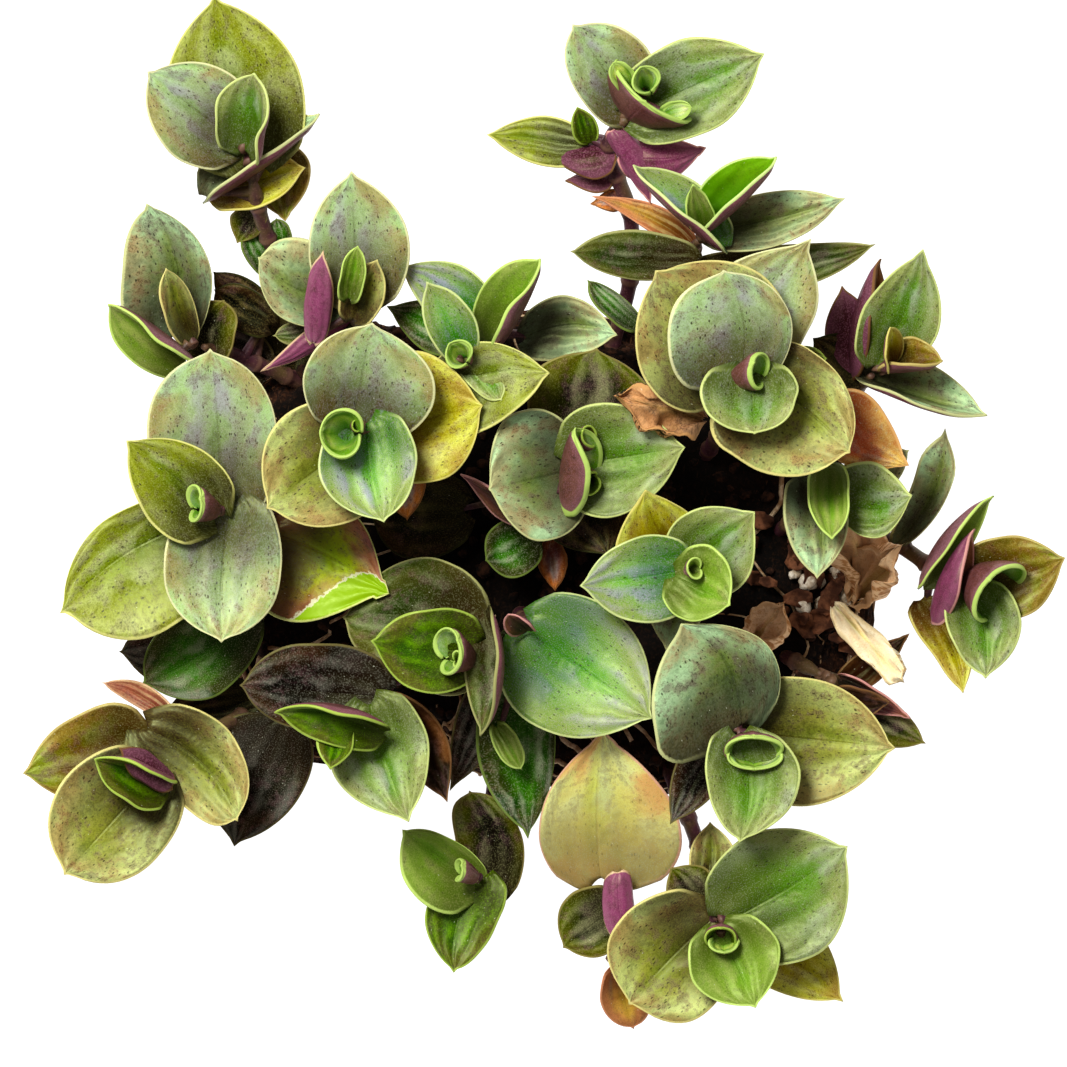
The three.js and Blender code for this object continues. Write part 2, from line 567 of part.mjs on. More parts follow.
function padSolid() {
  const profile = PAD_SIDE.map(([out, up]) => new THREE.Vector2(out, up * PAD_HEIGHT));
  const geometry = new THREE.LatheGeometry(profile, 2 * PAD_RADII.length).rotateX(Math.PI / 2);
  const position = geometry.attributes.position;
  for (let i = 0; i < position.count; i++) {
    const out = Math.hypot(position.getX(i), position.getY(i));
    const angle = Math.atan2(position.getY(i), position.getX(i));
    const reach = out * padRadius(angle);
    const height = position.getZ(i) * padLump(angle, out);
    position.setXYZ(i, reach * Math.cos(angle), reach * Math.sin(angle), height);
  }
  return toSolid(geometry);
}

function named(name, solid, tone) {
  const [color, roughness] = TONES[tone];
  const material = new THREE.MeshStandardMaterial({ color, roughness, metalness: 0, flatShading: true });
  const mesh = new THREE.Mesh(toGeometry(solid), material);
  mesh.name = name;
  return mesh;
}

// The biggest body of a solid, without the slivers and short edges that joining and cutting leave.
function wholeBody(solid) {
  const bodies = solid.simplify(SMALLEST_DETAIL).decompose();
  return bodies.reduce((best, body) => (body.volume() > best.volume() ? body : best));
}

// A leaf that starts beside the stem, with the short stalk that carries it from a place on the stem.
function stalkedLeaf(leaf, carrier) {
  const base = vector(leaf.at);
  const joint = bladeSurface(leaf, base)(STALK_REACH, 0, 0);
  return leafSolid(leaf, base).add(barSolid([carrier, joint], STALK_RADIUS, 1));
}

const plant = new THREE.Group();
let pad = padSolid();

for (const shoot of SHOOTS) {
  const head = vector(shoot.head);
  const bends = shoot.bends.map(vector);
  const downward = bends[0].clone().sub(head).normalize();
  const onStem = (down) => head.clone().addScaledVector(downward, down);
  const firstBend = bends[0].distanceTo(head);
  const route = new THREE.CatmullRomCurve3([head, ...bends]).getPoints(60);
  const carrierOf = (leaf) => {
    const base = vector(leaf.at);
    return route.reduce((best, at) => (at.distanceTo(base) < best.distanceTo(base) ? at : best));
  };
  const downOf = (leaf) => (leaf.at ? carrierOf(leaf).distanceTo(head) : leaf.down);
  const onNeck = shoot.leaves.filter((leaf) => downOf(leaf) < firstBend - 2);
  const neckDown = Math.min(firstBend - 1, 2 + Math.max(...onNeck.map(downOf)));
  const stemPlaces = [onStem(neckDown + CLEARANCE), ...bends];
  const room = barSolid(stemPlaces, STEM_RADIUS + 1.2 * CLEARANCE, STEM_STEPS);
  let leaves = barSolid([onStem(-0.5), onStem(neckDown)], STEM_RADIUS, 1);
  let stem = barSolid(stemPlaces, STEM_RADIUS, STEM_STEPS);
  for (const leaf of shoot.leaves) {
    const solid = leaf.at ? stalkedLeaf(leaf, carrierOf(leaf)) : leafSolid(leaf, onStem(leaf.down));
    if (onNeck.includes(leaf)) leaves = leaves.add(solid);
    else stem = stem.add(solid);
  }
  pad = pad.subtract(room);
  const toneOfMost = shoot.leaves[Math.min(1, shoot.leaves.length - 1)].tone;
  plant.add(named(`${shoot.name}_stem`, wholeBody(stem), "stem"));
  plant.add(named(`${shoot.name}_leaves`, wholeBody(leaves.subtract(room)), toneOfMost));
}

for (const leaf of DEAD_LEAVES) {
  const [x, y, lift] = leaf.at;
  const base = new THREE.Vector3(x, y, padTop(x, y) + lift);
  plant.add(named(leaf.name, leafSolid(leaf, base), leaf.tone));
}

GRANULES.forEach(([x, y], i) => {
  const place = [x, y, padTop(x, y) + GRANULE_RADIUS / 2];
  const turned = (radius) => toSolid(new THREE.IcosahedronGeometry(radius).rotateX(i).translate(...place));
  pad = pad.subtract(turned(GRANULE_RADIUS + 1.5 * CLEARANCE));
  plant.add(named(`granule_${i + 1}`, turned(GRANULE_RADIUS), "grit"));
});
plant.add(named("soil_pad", wholeBody(pad), "soil"));

export default plant;
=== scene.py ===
import math
import random

import bmesh
import bpy
from mathutils import Matrix, Vector, noise


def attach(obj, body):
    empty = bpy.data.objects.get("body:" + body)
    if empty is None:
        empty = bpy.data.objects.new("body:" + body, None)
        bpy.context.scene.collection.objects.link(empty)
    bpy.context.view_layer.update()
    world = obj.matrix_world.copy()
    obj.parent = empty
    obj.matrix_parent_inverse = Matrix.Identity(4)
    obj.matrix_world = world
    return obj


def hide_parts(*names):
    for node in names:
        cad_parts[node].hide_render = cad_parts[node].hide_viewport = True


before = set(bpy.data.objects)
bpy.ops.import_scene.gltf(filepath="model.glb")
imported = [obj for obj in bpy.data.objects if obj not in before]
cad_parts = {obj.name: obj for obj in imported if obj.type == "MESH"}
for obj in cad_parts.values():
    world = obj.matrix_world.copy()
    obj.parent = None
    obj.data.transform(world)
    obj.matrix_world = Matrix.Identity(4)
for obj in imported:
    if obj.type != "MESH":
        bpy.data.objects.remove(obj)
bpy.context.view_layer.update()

# A creeping inch plant lifted with its pad of soil. Lengths in the tables are millimetres.
mm = 0.001
up = Vector((0, 0, 1))
roundTurn = 6.28  # radians, near enough a full turn
dice = random.Random(41)


def tint(code):
    # A colour picked as a web code, in the linear values that shaders want.
    parts = [int(code[i : i + 2], 16) / 255 for i in (1, 3, 5)]
    linear = [c / 12.92 if c <= 0.04045 else ((c + 0.055) / 1.055) ** 2.4 for c in parts]
    return (*linear, 1)


class Field:
    # A socket that adds Math nodes when it is used in an expression.
    def __init__(self, recipe, socket):
        self.recipe = recipe
        self.socket = socket

    def sums(self, operation, *values):
        return self.recipe.add("ShaderNodeMath", {"operation": operation}, dict(enumerate(values)))

    def __add__(self, other):
        return self.sums("ADD", self, other)

    __radd__ = __add__

    def __mul__(self, other):
        return self.sums("MULTIPLY", self, other)

    __rmul__ = __mul__

    def __sub__(self, other):
        return self.sums("SUBTRACT", self, other)

    def __rsub__(self, other):
        return self.sums("SUBTRACT", other, self)

    def __abs__(self):
        return self.sums("ABSOLUTE", self)

    def wave(self):
        return self.sums("SINE", self)

    def rise(self, start, stop):
        # Goes softly from 0 at start to 1 at stop, whichever of the two is the larger.
        low, high = min(start, stop), max(start, stop)
        ends = {3: 0, 4: 1} if start < stop else {3: 1, 4: 0}
        inputs = {0: self, 1: low, 2: high, **ends}
        return self.recipe.add("ShaderNodeMapRange", {"interpolation_type": "SMOOTHSTEP"}, inputs)


class Recipe:
    # One material, its Principled shader and the nodes that feed it.
    sockets = dict(
        colour="Base Color",
        roughness="Roughness",
        specular="Specular IOR Level",
        sheen="Specular Tint",
        glow="Emission Color",
        glowStrength="Emission Strength",
    )

    def __init__(self, name):
        self.material = bpy.data.materials.new(name)
        self.material.use_nodes = True
        self.nodes = self.material.node_tree.nodes
        self.links = self.material.node_tree.links
        self.shader = self.nodes["Principled BSDF"]

    def add(self, kind, settings, inputs, output=0):
        node = self.nodes.new(kind)
        for key, value in settings.items():
            setattr(node, key, value)
        for key, value in inputs.items():
            self.feed(node.inputs[key], value)
        return Field(self, node.outputs[output])

    def feed(self, socket, value):
        if isinstance(value, Field):
            self.links.new(value.socket, socket)
        else:
            socket.default_value = value

    def blend(self, share, first, second):
        # The first colour where share is 0 and the second where it is 1.
        node = self.nodes.new("ShaderNodeMix")
        node.data_type = "RGBA"
        named = {s.identifier: s for s in node.inputs}
        self.feed(named["Factor_Float"], share)
        self.feed(named["A_Color"], first)
        self.feed(named["B_Color"], second)
        return Field(self, next(s for s in node.outputs if s.identifier == "Result_Color"))

    def stretched(self, vector, amounts):
        return self.add("ShaderNodeVectorMath", {"operation": "MULTIPLY"}, {0: vector, 1: amounts})

    def cloud(self, vector, scale, detail=3, rough=0.5):
        inputs = {"Vector": vector, "Scale": scale, "Detail": detail, "Roughness": rough}
        return self.add("ShaderNodeTexNoise", {}, inputs)

    def cells(self, vector, scale):
        # The distance to the nearest of many scattered points, and that point's own random colour.
        near = self.add("ShaderNodeTexVoronoi", {}, {"Vector": vector, "Scale": scale}, "Distance")
        return near, Field(self, near.socket.node.outputs["Color"])

    def part(self, vector, axis):
        return self.add("ShaderNodeSeparateXYZ", {}, {0: vector}, axis)

    def written(self, name, output="Fac"):
        return self.add("ShaderNodeAttribute", {"attribute_name": name}, {}, output)

    def here(self):
        return self.add("ShaderNodeTexCoord", {}, {}, "Object")

    def bump(self, height, strength, distance):
        inputs = {"Height": height, "Strength": strength, "Distance": distance}
        self.feed(self.shader.inputs["Normal"], self.add("ShaderNodeBump", {}, inputs))

    def set(self, **values):
        for key, value in values.items():
            self.feed(self.shader.inputs[self.sockets[key]], value)


# Each kind of leaf has its own look. core colours its middle and edge the rest, pale is the silvery bloom,
# partly a painted sheen, and the painted glints, bruise the dark mottling and painted shade at the base, and
# rim the thin margin. paleness, bruising and flecks say how much of each there is, from 0 to 1, and bruising
# also how much painted shadow lies near the base. What a look leaves out it takes from leafHabit.
leafLooks = {
    "fresh": dict(core="#a0bf78", edge="#97a865", pale="#b39fd5", bruiseAndShade="#1a6704", rim="#d3dd9f",
                  paleness=0.7, bruising=0.3, flecks=0.7, heart=0.7, blush=0.1),
    "silver": dict(core="#b3c49a", edge="#c0e19c", pale="#a69eb0", bruiseAndShade="#3b2b04", rim="#dedcae",
                   paleness=0.7, bruising=0.6, flecks=0.8),
    "lime": dict(core="#859327", edge="#979e3e", pale="#e2e9bc", bruiseAndShade="#221b0a", rim="#dedb94",
                 paleness=0.4, bruising=0.55, flecks=0.8, blush=0),
    "green": dict(core="#6f9442", edge="#99a86d", pale="#c5c9bd", bruiseAndShade="#405504", rim="#cfd894",
                  paleness=0.6, bruising=0.5, flecks=0.7, heart=0.7, blush=0.15),
    "olive": dict(core="#949a4a", edge="#c3ce8a", pale="#a7a151", bruiseAndShade="#240405", rim="#ded494",
                  paleness=0.45, bruising=0.75, flecks=0.8),
    "bright": dict(core="#81a825", edge="#87a23f", pale="#dcce91", bruiseAndShade="#485c04", rim="#c5dd78",
                   paleness=0.4, bruising=0.35, flecks=0.3, heart=0.7, blush=0, richness=1),
    "sheath": dict(core="#e3ed70", edge="#678f08", pale="#ededed", bruiseAndShade="#589804", rim="#b6cf6e",
                   paleness=0.4, bruising=0.35, flecks=0.3, blush=0, richness=1, rimWidth=0.8,
                   back="#6d4038"),
    "neon": dict(core="#5d8506", edge="#6fa01c", pale="#7fb02c", bruiseAndShade="#417605", rim="#cfe29a",
                 paleness=0.3, bruising=0.2, flecks=0.1, blush=0),
    "mustard": dict(core="#aca31f", edge="#d0d35e", pale="#ecedb4", bruiseAndShade="#540404", rim="#d9cf86",
                    paleness=0.4, bruising=0.5, flecks=0.7),
    "sage": dict(core="#919b60", edge="#caebb7", pale="#72736f", bruiseAndShade="#040404", rim="#c9cb98",
                 paleness=0.55, bruising=0.7, flecks=0.8),
    "moss": dict(core="#315d09", edge="#4a5c23", pale="#ade545", bruiseAndShade="#2e3704", rim="#a9bd66",
                 paleness=0.45, bruising=0.5, flecks=0.5, blush=0.2),
    "bronze": dict(core="#6a4a04", edge="#7b8b17", pale="#ededaf", bruiseAndShade="#412704", rim="#bfae78",
                   paleness=0.35, bruising=0.7, flecks=0.5),
    "dusk": dict(core="#243d0e", edge="#4c5f25", pale="#c0c39f", bruiseAndShade="#291604", rim="#a3a272",
                 paleness=0.5, bruising=0.6, flecks=0.6, blush=0.15, shine=0.15),
    # deep, plum, ink, night and umber are looks of low leaves under the others: their dark colours are partly
    # their own tone and partly painted shade.
    "deep": dict(core="#448418", edge="#043904", pale="#ededd5", bruiseAndShade="#182d04", rim="#77884c",
                 paleness=0.5, bruising=0.5, flecks=0.5, blush=0.15, shine=0.15),
    "plum": dict(core="#040404", edge="#566308", pale="#ededb4", bruiseAndShade="#120804", rim="#8f8557",
                 paleness=0.35, bruising=0.6, flecks=0.4, blush=0.15, shine=0.15),
    "ink": dict(core="#040404", edge="#040704", pale="#ededd8", bruiseAndShade="#150404", rim="#6f6745",
                paleness=0.35, bruising=0.6, flecks=0.4, blush=0.15, shine=0.15),
    "night": dict(core="#040404", edge="#040504", pale="#dbcc87", bruiseAndShade="#040404", rim="#38391f",
                  paleness=0.3, bruising=0.5, flecks=0.3, blush=0.15, shine=0.15),
    "yellow": dict(core="#edec73", edge="#eded8f", pale="#c2d2bb", bruiseAndShade="#ab975a", rim="#dfae93",
                   paleness=0.5, bruising=0.5, flecks=0.35, blush=0.75, blushTone="#e39a5c", richness=1),
    "scarred": dict(core="#d2ed3e", edge="#c58670", pale="#04046f", bruiseAndShade="#441c06", rim="#d3d792",
                    paleness=0.5, bruising=0.75, flecks=0.6, scar=0.72),
    "rust": dict(core="#e47e4d", edge="#edc959", pale="#ecedce", bruiseAndShade="#a50404", rim="#d7a66a",
                 paleness=0.4, bruising=0.6, flecks=0.2, richness=1),
    "russet": dict(core="#a9604a", edge="#b3705a", pale="#c99a80", bruiseAndShade="#5a1a0c", rim="#d7b08a",
                   paleness=0.4, bruising=0.6, flecks=0.2, richness=1),
    "copper": dict(core="#bda6a1", edge="#ed8f1d", pale="#ced9c8", bruiseAndShade="#6b0404", rim="#94653c",
                   paleness=0.3, bruising=0.6, flecks=0.2, shine=0.15, richness=1),
    "blush": dict(core="#dab466", edge="#d19772", pale="#ad744d", bruiseAndShade="#63231a", rim="#d39a7c",
                  paleness=0.4, bruising=0.5, flecks=0.2),
    "umber": dict(core="#040404", edge="#040404", pale="#6d5240", bruiseAndShade="#341104", rim="#7c5f45",
                  paleness=0.3, bruising=0.6, flecks=0.3, shine=0.15, back="#4a2530"),
    "magenta": dict(core="#5d3a35", edge="#7b4450", pale="#8d6a62", bruiseAndShade="#040404", rim="#d8a59e",
                    paleness=0.3, bruising=0.5, flecks=0.2, back="#7a3f5c"),
    "lilac": dict(core="#6b4a3a", edge="#7b4450", pale="#8d6a62", bruiseAndShade="#4a2330", rim="#dcc0a0",
                  paleness=0.3, bruising=0.5, flecks=0.2, back="#8f5070"),
    "husk": dict(core="#c48f5e", edge="#d39c6a", pale="#e6bd8c", bruiseAndShade="#040404", rim="#c99862",
                 paleness=0.6, bruising=0.5, flecks=0.2, blush=0, shade=0.25, richness=1, dry=True),
    "tan": dict(core="#f0c294", edge="#f3cda2", pale="#f8dcb6", bruiseAndShade="#c08857", rim="#e0b487",
                paleness=0.6, bruising=0.22, flecks=0.2, blush=0, shade=0.25, richness=1, dry=True),
    "cream": dict(core="#f4deb2", edge="#fbeecb", pale="#fff3d6", bruiseAndShade="#d8b27c", rim="#ecd6a6",
                  paleness=0.5, bruising=0.22, flecks=0.1, blush=0, shade=0.25, richness=1, dry=True),
}
leafHabit = dict(
    heart=0.4,  # how green the middle is
    blush=0.6,  # how warm the margin's side is
    blushTone="#a2744f",
    shade=0.88,  # how dark the blade is towards its base: painted shade and its own darker colour
    shine=0.42,
    richness=1.12,  # a last touch to the saturation
    rimWidth=0.36,
    back="#6a4342",  # colour of the underside
    dry=False,
)
leafSkin = dict(
    fleck="#20140f",
    dot="#e3e6d0",
    backShade="#3c2119",
    backBloom="#ab7b8c",
    haze="#6a5154",
    sheen="#f2ffb8",
    # colour of the painted shadow near a blade's base
    baseShadow="#2b2415",
    scarTip="#8fb32c",
    scarLine="#dfe2c2",
    roughness=0.42,
    dryRoughness=0.7,
    lightness=1.09,  # a last touch to the brightness
    bump=0.32,
    bumpDepth=0.6 * mm,
)
leafCounts = dict(drift=0.13, blotch=0.42, mottle=1.3, grain=5, fleck=1.2)  # how fine, to a millimetre
bandCount = 13  # of the streaks along half a blade
# Where each mask of a leaf's pattern is still 0, and where it has come to 1.
leafMasks = dict(
    rimward=(0.72, 0.08),
    middle=(0.36, 0.05),
    middleFade=(0.95, 0.35),
    bloomAndSheen=(0.5, 0.8),
    patch=(0.53, 0.7),
    blush=(0.47, 0.67),
    blushFade=(0.62, 0.1),
    stain=(0.56, 0.34),
    foot=(0.74, 0.1),
    baseShadow=(0.52, 0.1),
    midrib=(0.035, 0),
    midribFade=(1, 0.4),
    dash=(0.28, 0.16),
    dashChoice=(0.44, 0.48),
    dashPlace=(0.72, 0.98),
    dot=(0.13, 0.07),
    dotChoice=(0.22, 0.18),
    speckle=(0.54, 0.25),
    glint=(0.5, 0.75),
    scarTip=(0, 0.015),
    scarLine=(0.02, 0.006),
    rimStart=(0.02, 0.14),
    backShade=(0.38, 0.8),
    backGrain=(0.46, 0.68),
    backRim=(3, 0.6),
    dryBack=(0.42, 0.6),
    underside=(0, -0.4),
)
# How strongly each one tells.
leafShares = dict(
    bloomAndSheen=0.9, patch=0.75, stain=0.6, baseShadow=0.8, midrib=0.3, dot=0.5, glint=0.25, scarLine=0.7, rim=0.88,
    backShade=0.8, backGrain=0.3, backRim=0.25,
)


def leafMask(value, name):
    return value.rise(*leafMasks[name])


def leafFinish(name, own):
    # place is millimetres along and across the blade. share holds how far along it is from 0 to 1, how far
    # across from -1 to 1, and how deep inside its margin from 0 to 1. margin is the distance from the edge in
    # millimetres, and face is 1 on the upper side and -1 underneath.
    look = leafHabit | own
    r = Recipe(name)
    place = r.written("place", "Vector")
    margin = r.written("margin")
    along, across, depth = (r.part(r.written("share", "Vector"), axis) for axis in "XYZ")
    drift = r.cloud(place, leafCounts["drift"], 1)
    blotch = r.cloud(place, leafCounts["blotch"], 2, 0.55)
    mottle = r.cloud(place, leafCounts["mottle"], 2, 0.6)
    grain = r.cloud(place, leafCounts["grain"], 0)
    bruiseAndShade, pale, rim = (tint(look[key]) for key in ("bruiseAndShade", "pale", "rim"))

    # Ground colours: the margin's side, the green middle and the silvery bloom, partly a painted sheen.
    rimward = leafMask(depth + blotch * 0.7 - 0.35, "rimward")
    middle = leafMask(abs(across) + blotch * 0.5 - 0.2, "middle") * leafMask(along, "middleFade")
    core = tint(look["core"])
    fresh = tuple(c * k for c, k in zip(core, (0.6, 1.04, 0.36, 1)))  # the core with less red and blue
    colour = r.blend(rimward, core, tint(look["edge"]))
    colour = r.blend(middle * look["heart"], colour, fresh)
    band = (across * bandCount + drift * 9 + blotch * 2).wave()
    # Pale patches: the leaf's own silvery bloom together with a painted sheen of soft highlights.
    bloomAndSheen = leafMask(drift + band * 0.1 + mottle * 0.15, "bloomAndSheen")
    colour = r.blend(bloomAndSheen * (1 - rimward * 0.5) * look["paleness"] * leafShares["bloomAndSheen"], colour, pale)

    # Dull and warm patches, dark stains, and the base, darker in its own colour and in painted shade.
    patch = leafMask(blotch * 0.6 + mottle * 0.4 + drift * 0.15, "patch") * (1 - middle * 0.7)
    colour = r.blend(patch * look["bruising"] * leafShares["patch"], colour, tint(leafSkin["haze"]))
    blush = leafMask(1 - drift + mottle * 0.15, "blush") * leafMask(depth, "blushFade")
    colour = r.blend(blush * look["blush"], colour, tint(look["blushTone"]))
    stain = leafMask(mottle * 0.4 + blotch * 0.35 + drift * 0.25 + band * 0.03, "stain")
    colour = r.blend(stain * look["bruising"] * leafShares["stain"], colour, bruiseAndShade)
    # Painted shade, with some of the blade's own darker colour, towards the base where leaves above cover it.
    foot = leafMask(along + blotch * 0.24 + abs(across) * 0.12 - 0.17, "foot") * (1 - rimward * 0.2)
    colour = r.blend(foot * look["shade"], colour, bruiseAndShade)
    # A painted shadow near the base, where the leaves above overshadow it.
    baseShadow = leafMask(along + blotch * 0.3 - 0.15, "baseShadow") * look["bruising"] * look["shade"]
    colour = r.blend(baseShadow * leafShares["baseShadow"], colour, tint(leafSkin["baseShadow"]))
    midrib = leafMask(abs(across), "midrib") * leafMask(along, "midribFade")
    colour = r.blend(midrib * leafShares["midrib"], colour, bruiseAndShade)

    # Dark dashes along the blade, pale dots, a fine dark grain and a painted glint.
    near, chosen = r.cells(r.stretched(place, (0.7, 1.5, 1)), leafCounts["fleck"])
    choice = r.part(chosen, "X")
    dash = leafMask(near, "dash") * leafMask(choice, "dashChoice") * leafMask(blotch + mottle, "dashPlace")
    colour = r.blend(dash * look["flecks"], colour, tint(leafSkin["fleck"]))
    dot = leafMask(near, "dot") * leafMask(choice, "dotChoice")
    colour = r.blend(dot * leafShares["dot"], colour, tint(leafSkin["dot"]))
    colour = r.blend(leafMask(grain, "speckle") * (patch * 0.3 + 0.22), colour, bruiseAndShade)
    # A painted glint: fine specks of the pale colour that stand in for sparkling highlights.
    colour = r.blend(leafMask(grain, "glint") * look["paleness"] * leafShares["glint"], colour, pale)

    # A torn tip, if the look has one, and the thin pale margin.
    if "scar" in look:
        reached = along + across * 0.3 + mottle * 0.1 - 0.05 - look["scar"]
        colour = r.blend(leafMask(reached, "scarTip"), colour, tint(leafSkin["scarTip"]))
        line = leafMask(abs(reached), "scarLine") * leafShares["scarLine"]
        colour = r.blend(line, colour, tint(leafSkin["scarLine"]))
    rimWidth = look["rimWidth"]
    edging = (margin + grain * 0.2).rise(rimWidth + 0.1, rimWidth - 0.12) * leafMask(along, "rimStart")
    colour = r.blend(edging * leafShares["rim"], colour, rim)

    # The underside.
    backShade = leafMask(mottle * 0.5 + blotch * 0.5, "backShade") * leafShares["backShade"]
    back = r.blend(backShade, tint(look["back"]), tint(leafSkin["backShade"]))
    back = r.blend(leafMask(grain, "backGrain") * leafShares["backGrain"], back, tint(leafSkin["backBloom"]))
    back = r.blend(leafMask(margin, "backRim") * leafShares["backRim"], back, tint(leafSkin["backBloom"]))
    back = r.blend(margin.rise(rimWidth, rimWidth - 0.2), back, rim)
    if look["dry"]:
        back = r.blend(leafMask(mottle, "dryBack"), tint(look["edge"]), bruiseAndShade)
    colour = r.blend(leafMask(r.written("face"), "underside"), colour, back)
    touch = {"Saturation": look["richness"], "Value": leafSkin["lightness"], "Color": colour}
    colour = r.add("ShaderNodeHueSaturation", {}, touch)

    gloss = leafSkin["dryRoughness"] if look["dry"] else leafSkin["roughness"]
    roughness = mottle * 0.3 + grain * 0.15 + (gloss - 0.225)
    r.set(colour=colour, roughness=roughness, specular=look["shine"], sheen=tint(leafSkin["sheen"]))
    r.bump(band * 0.4 + blotch * 0.5 - midrib * 0.5, leafSkin["bump"], leafSkin["bumpDepth"])
    return r.material


leafMaterials = {name: leafFinish("leaf_" + name, look) for name, look in leafLooks.items()}
print("leaf finishes made:", len(leafMaterials))


# A leaf's outline: widest is how far along that is, round and point shape it from there to the tip, heel says
# how far it narrows at its base, and lobe how far the base's corners reach back.
outlines = {
    "round": dict(widest=0.46, round=2.3, point=0.62, heel=0.9, lobe=0.12),
    "heart": dict(widest=0.4, round=2.1, point=0.8, heel=0.9, lobe=0.1),
    "oval": dict(widest=0.42, round=1.95, point=0.88, heel=0.94, lobe=0.04),
    "lance": dict(widest=0.34, round=1.6, point=1.0, heel=0.88, lobe=0.02),
}
bladeHabit = dict(
    thickness=0.95,
    rimThickness=0.32,
    rimBody=1.2,  # how far inside the margin the blade is at its thickest
    corner=0.08,  # how far along its base's corners go, as a share of the blade
    rows=30,
    columns=22,
    smallWidth=9,  # a leaf narrower than this has fewer rows and columns
    smallRows=20,
    smallColumns=14,
    fullWidth=16,  # a leaf narrower than this has shallower folds and waves
    crease=0.35,  # depth of the midrib's fold
    creaseWidth=0.1,
    pleat=0.07,  # height of the soft folds beside it
    wave=0.35,  # height of the margin's waves
    lip=0.35,  # how far the margin itself turns up
    lipWidth=0.2,
    nib=0.035,  # length of the small point at the tip, as a share of the blade
    nibWidth=0.16,
    keel=1.5,  # radius of the tight bend along a folded blade's middle
    flare=0.4,  # how much flatter the cup is at the tip than at the base
    droop=0.2,  # how far the blade hangs between its ends, as a share of its length
    weld=0.004,  # points nearer to each other than this are merged
)


def bladeWidth(outline, along):
    if along < outline["widest"]:
        heel = outline["heel"] * (outline["widest"] - along) / outline["widest"]
        return math.sqrt(1 - heel * heel) * (0.5 + 0.5 * min(1, along / bladeHabit["corner"]) ** 0.5)
    nib = bladeHabit["nib"]
    t = min(1, (along - outline["widest"]) / (1 - nib - outline["widest"]))
    body = (1 - t ** outline["round"]) ** outline["point"]
    return max(body, bladeHabit["nibWidth"] * min(1, (1 - along) / (nib * 2.2)))


class Blade:
    # A leaf's surface: a place along it from 0 to 1, across it from -1 to 1, and off it in millimetres.
    def __init__(self, leaf, base):
        self.leaf = leaf
        self.base = base
        own = {key: leaf[key] for key in ("widest", "point", "lobe") if key in leaf}
        self.outline = outlines[leaf.get("kind", "oval")] | own
        run = Vector(leaf["tip"]) - base
        self.length = run.length
        self.ahead = run.normalized()
        facing = up
        if "face" in leaf:
            azimuth = math.radians(leaf["face"])
            facing = Vector((math.cos(azimuth), math.sin(azimuth), 0))
        side = self.ahead.cross(facing).normalized()
        self.side = Matrix.Rotation(-math.radians(leaf.get("roll", 0)), 3, self.ahead) @ side
        self.inward = self.side.cross(self.ahead)
        self.curl = math.radians(leaf["cup"])
        self.size = min(1, leaf["wide"] / bladeHabit["fullWidth"])
        self.fold = math.radians(leaf.get("fold", 0))
        self.chance = dice.random()

    def relief(self, along, across, middle):
        # How far the folds and waves lift the surface. middle is 0 at the blade's ends and 1 halfway.
        leaf, size = self.leaf, self.size
        lip = max(0, abs(across) - 1 + bladeHabit["lipWidth"]) / bladeHabit["lipWidth"]
        off = bladeHabit["lip"] * size * lip**2 * middle
        crease = math.exp(-((across / bladeHabit["creaseWidth"]) ** 2))
        off -= bladeHabit["crease"] * size * crease * min(1, 1.2 * middle)
        off += bladeHabit["pleat"] * size * math.cos(9.4 * across) * min(1, 1.5 * middle)
        phase = roundTurn * self.chance  # a long and a short wave run along the margins
        waves = math.sin(8 * along + 2.5 * across + phase)
        waves += 0.5 * math.sin(15 * along - 3 * across + 2 * phase)
        off += bladeHabit["wave"] * size * across**2 * middle * waves
        if "ripple" in leaf:
            spot = Vector((along * 3, across * 2, self.chance * 50))
            off += leaf["ripple"] * 2.2 * noise.noise(spot)
            off += leaf["ripple"] * 0.9 * noise.noise(spot * 2.7)
        return off

    def at(self, along, across, off):
        # A bent strip: a tight bend of the keel's radius in the middle, then a wide one out to the margin.
        leaf = self.leaf
        half = leaf["wide"] / 2
        keelRadius = bladeHabit["keel"]
        middle = along * (1 - along) * 4
        behind = max(0, 1 - along / self.outline["widest"])
        back = self.outline["lobe"] * self.length * abs(across) ** 1.5 * behind**1.5
        flare = leaf.get("flare", bladeHabit["flare"])
        radius = half / self.curl * (1 - flare / 2 + flare * along)
        reach = abs(across) * (1 + leaf.get("lean", 0) * across) * half * bladeWidth(self.outline, along)
        keel = min(reach / keelRadius, self.fold)
        turn = keel + (reach - keel * keelRadius) / radius
        off += self.relief(along, across, middle)
        lift = keelRadius * (1 - math.cos(keel)) + radius * (math.cos(keel) - math.cos(turn))
        lift = lift * leaf.get("flat", 1) + off * math.cos(turn)
        lift -= bladeHabit["droop"] * self.length * along * (1 - along)
        sideways = keelRadius * math.sin(keel) + radius * (math.sin(turn) - math.sin(keel))
        sideways = math.copysign(sideways - off * math.sin(turn), across)
        sideways += leaf.get("bend", 0) * self.length * middle
        onward = along * self.length - back
        return self.base + self.ahead * onward + self.inward * lift + self.side * sideways


def finished(name, bm, material):
    mesh = bpy.data.meshes.new(name)
    for face in bm.faces:
        face.smooth = True
    bm.to_mesh(mesh)
    bm.free()
    mesh.materials.append(material)
    piece = bpy.data.objects.new(name, mesh)
    bpy.context.scene.collection.objects.link(piece)
    return piece


def settle(piece, node):
    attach(piece, "root")
    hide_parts(node)


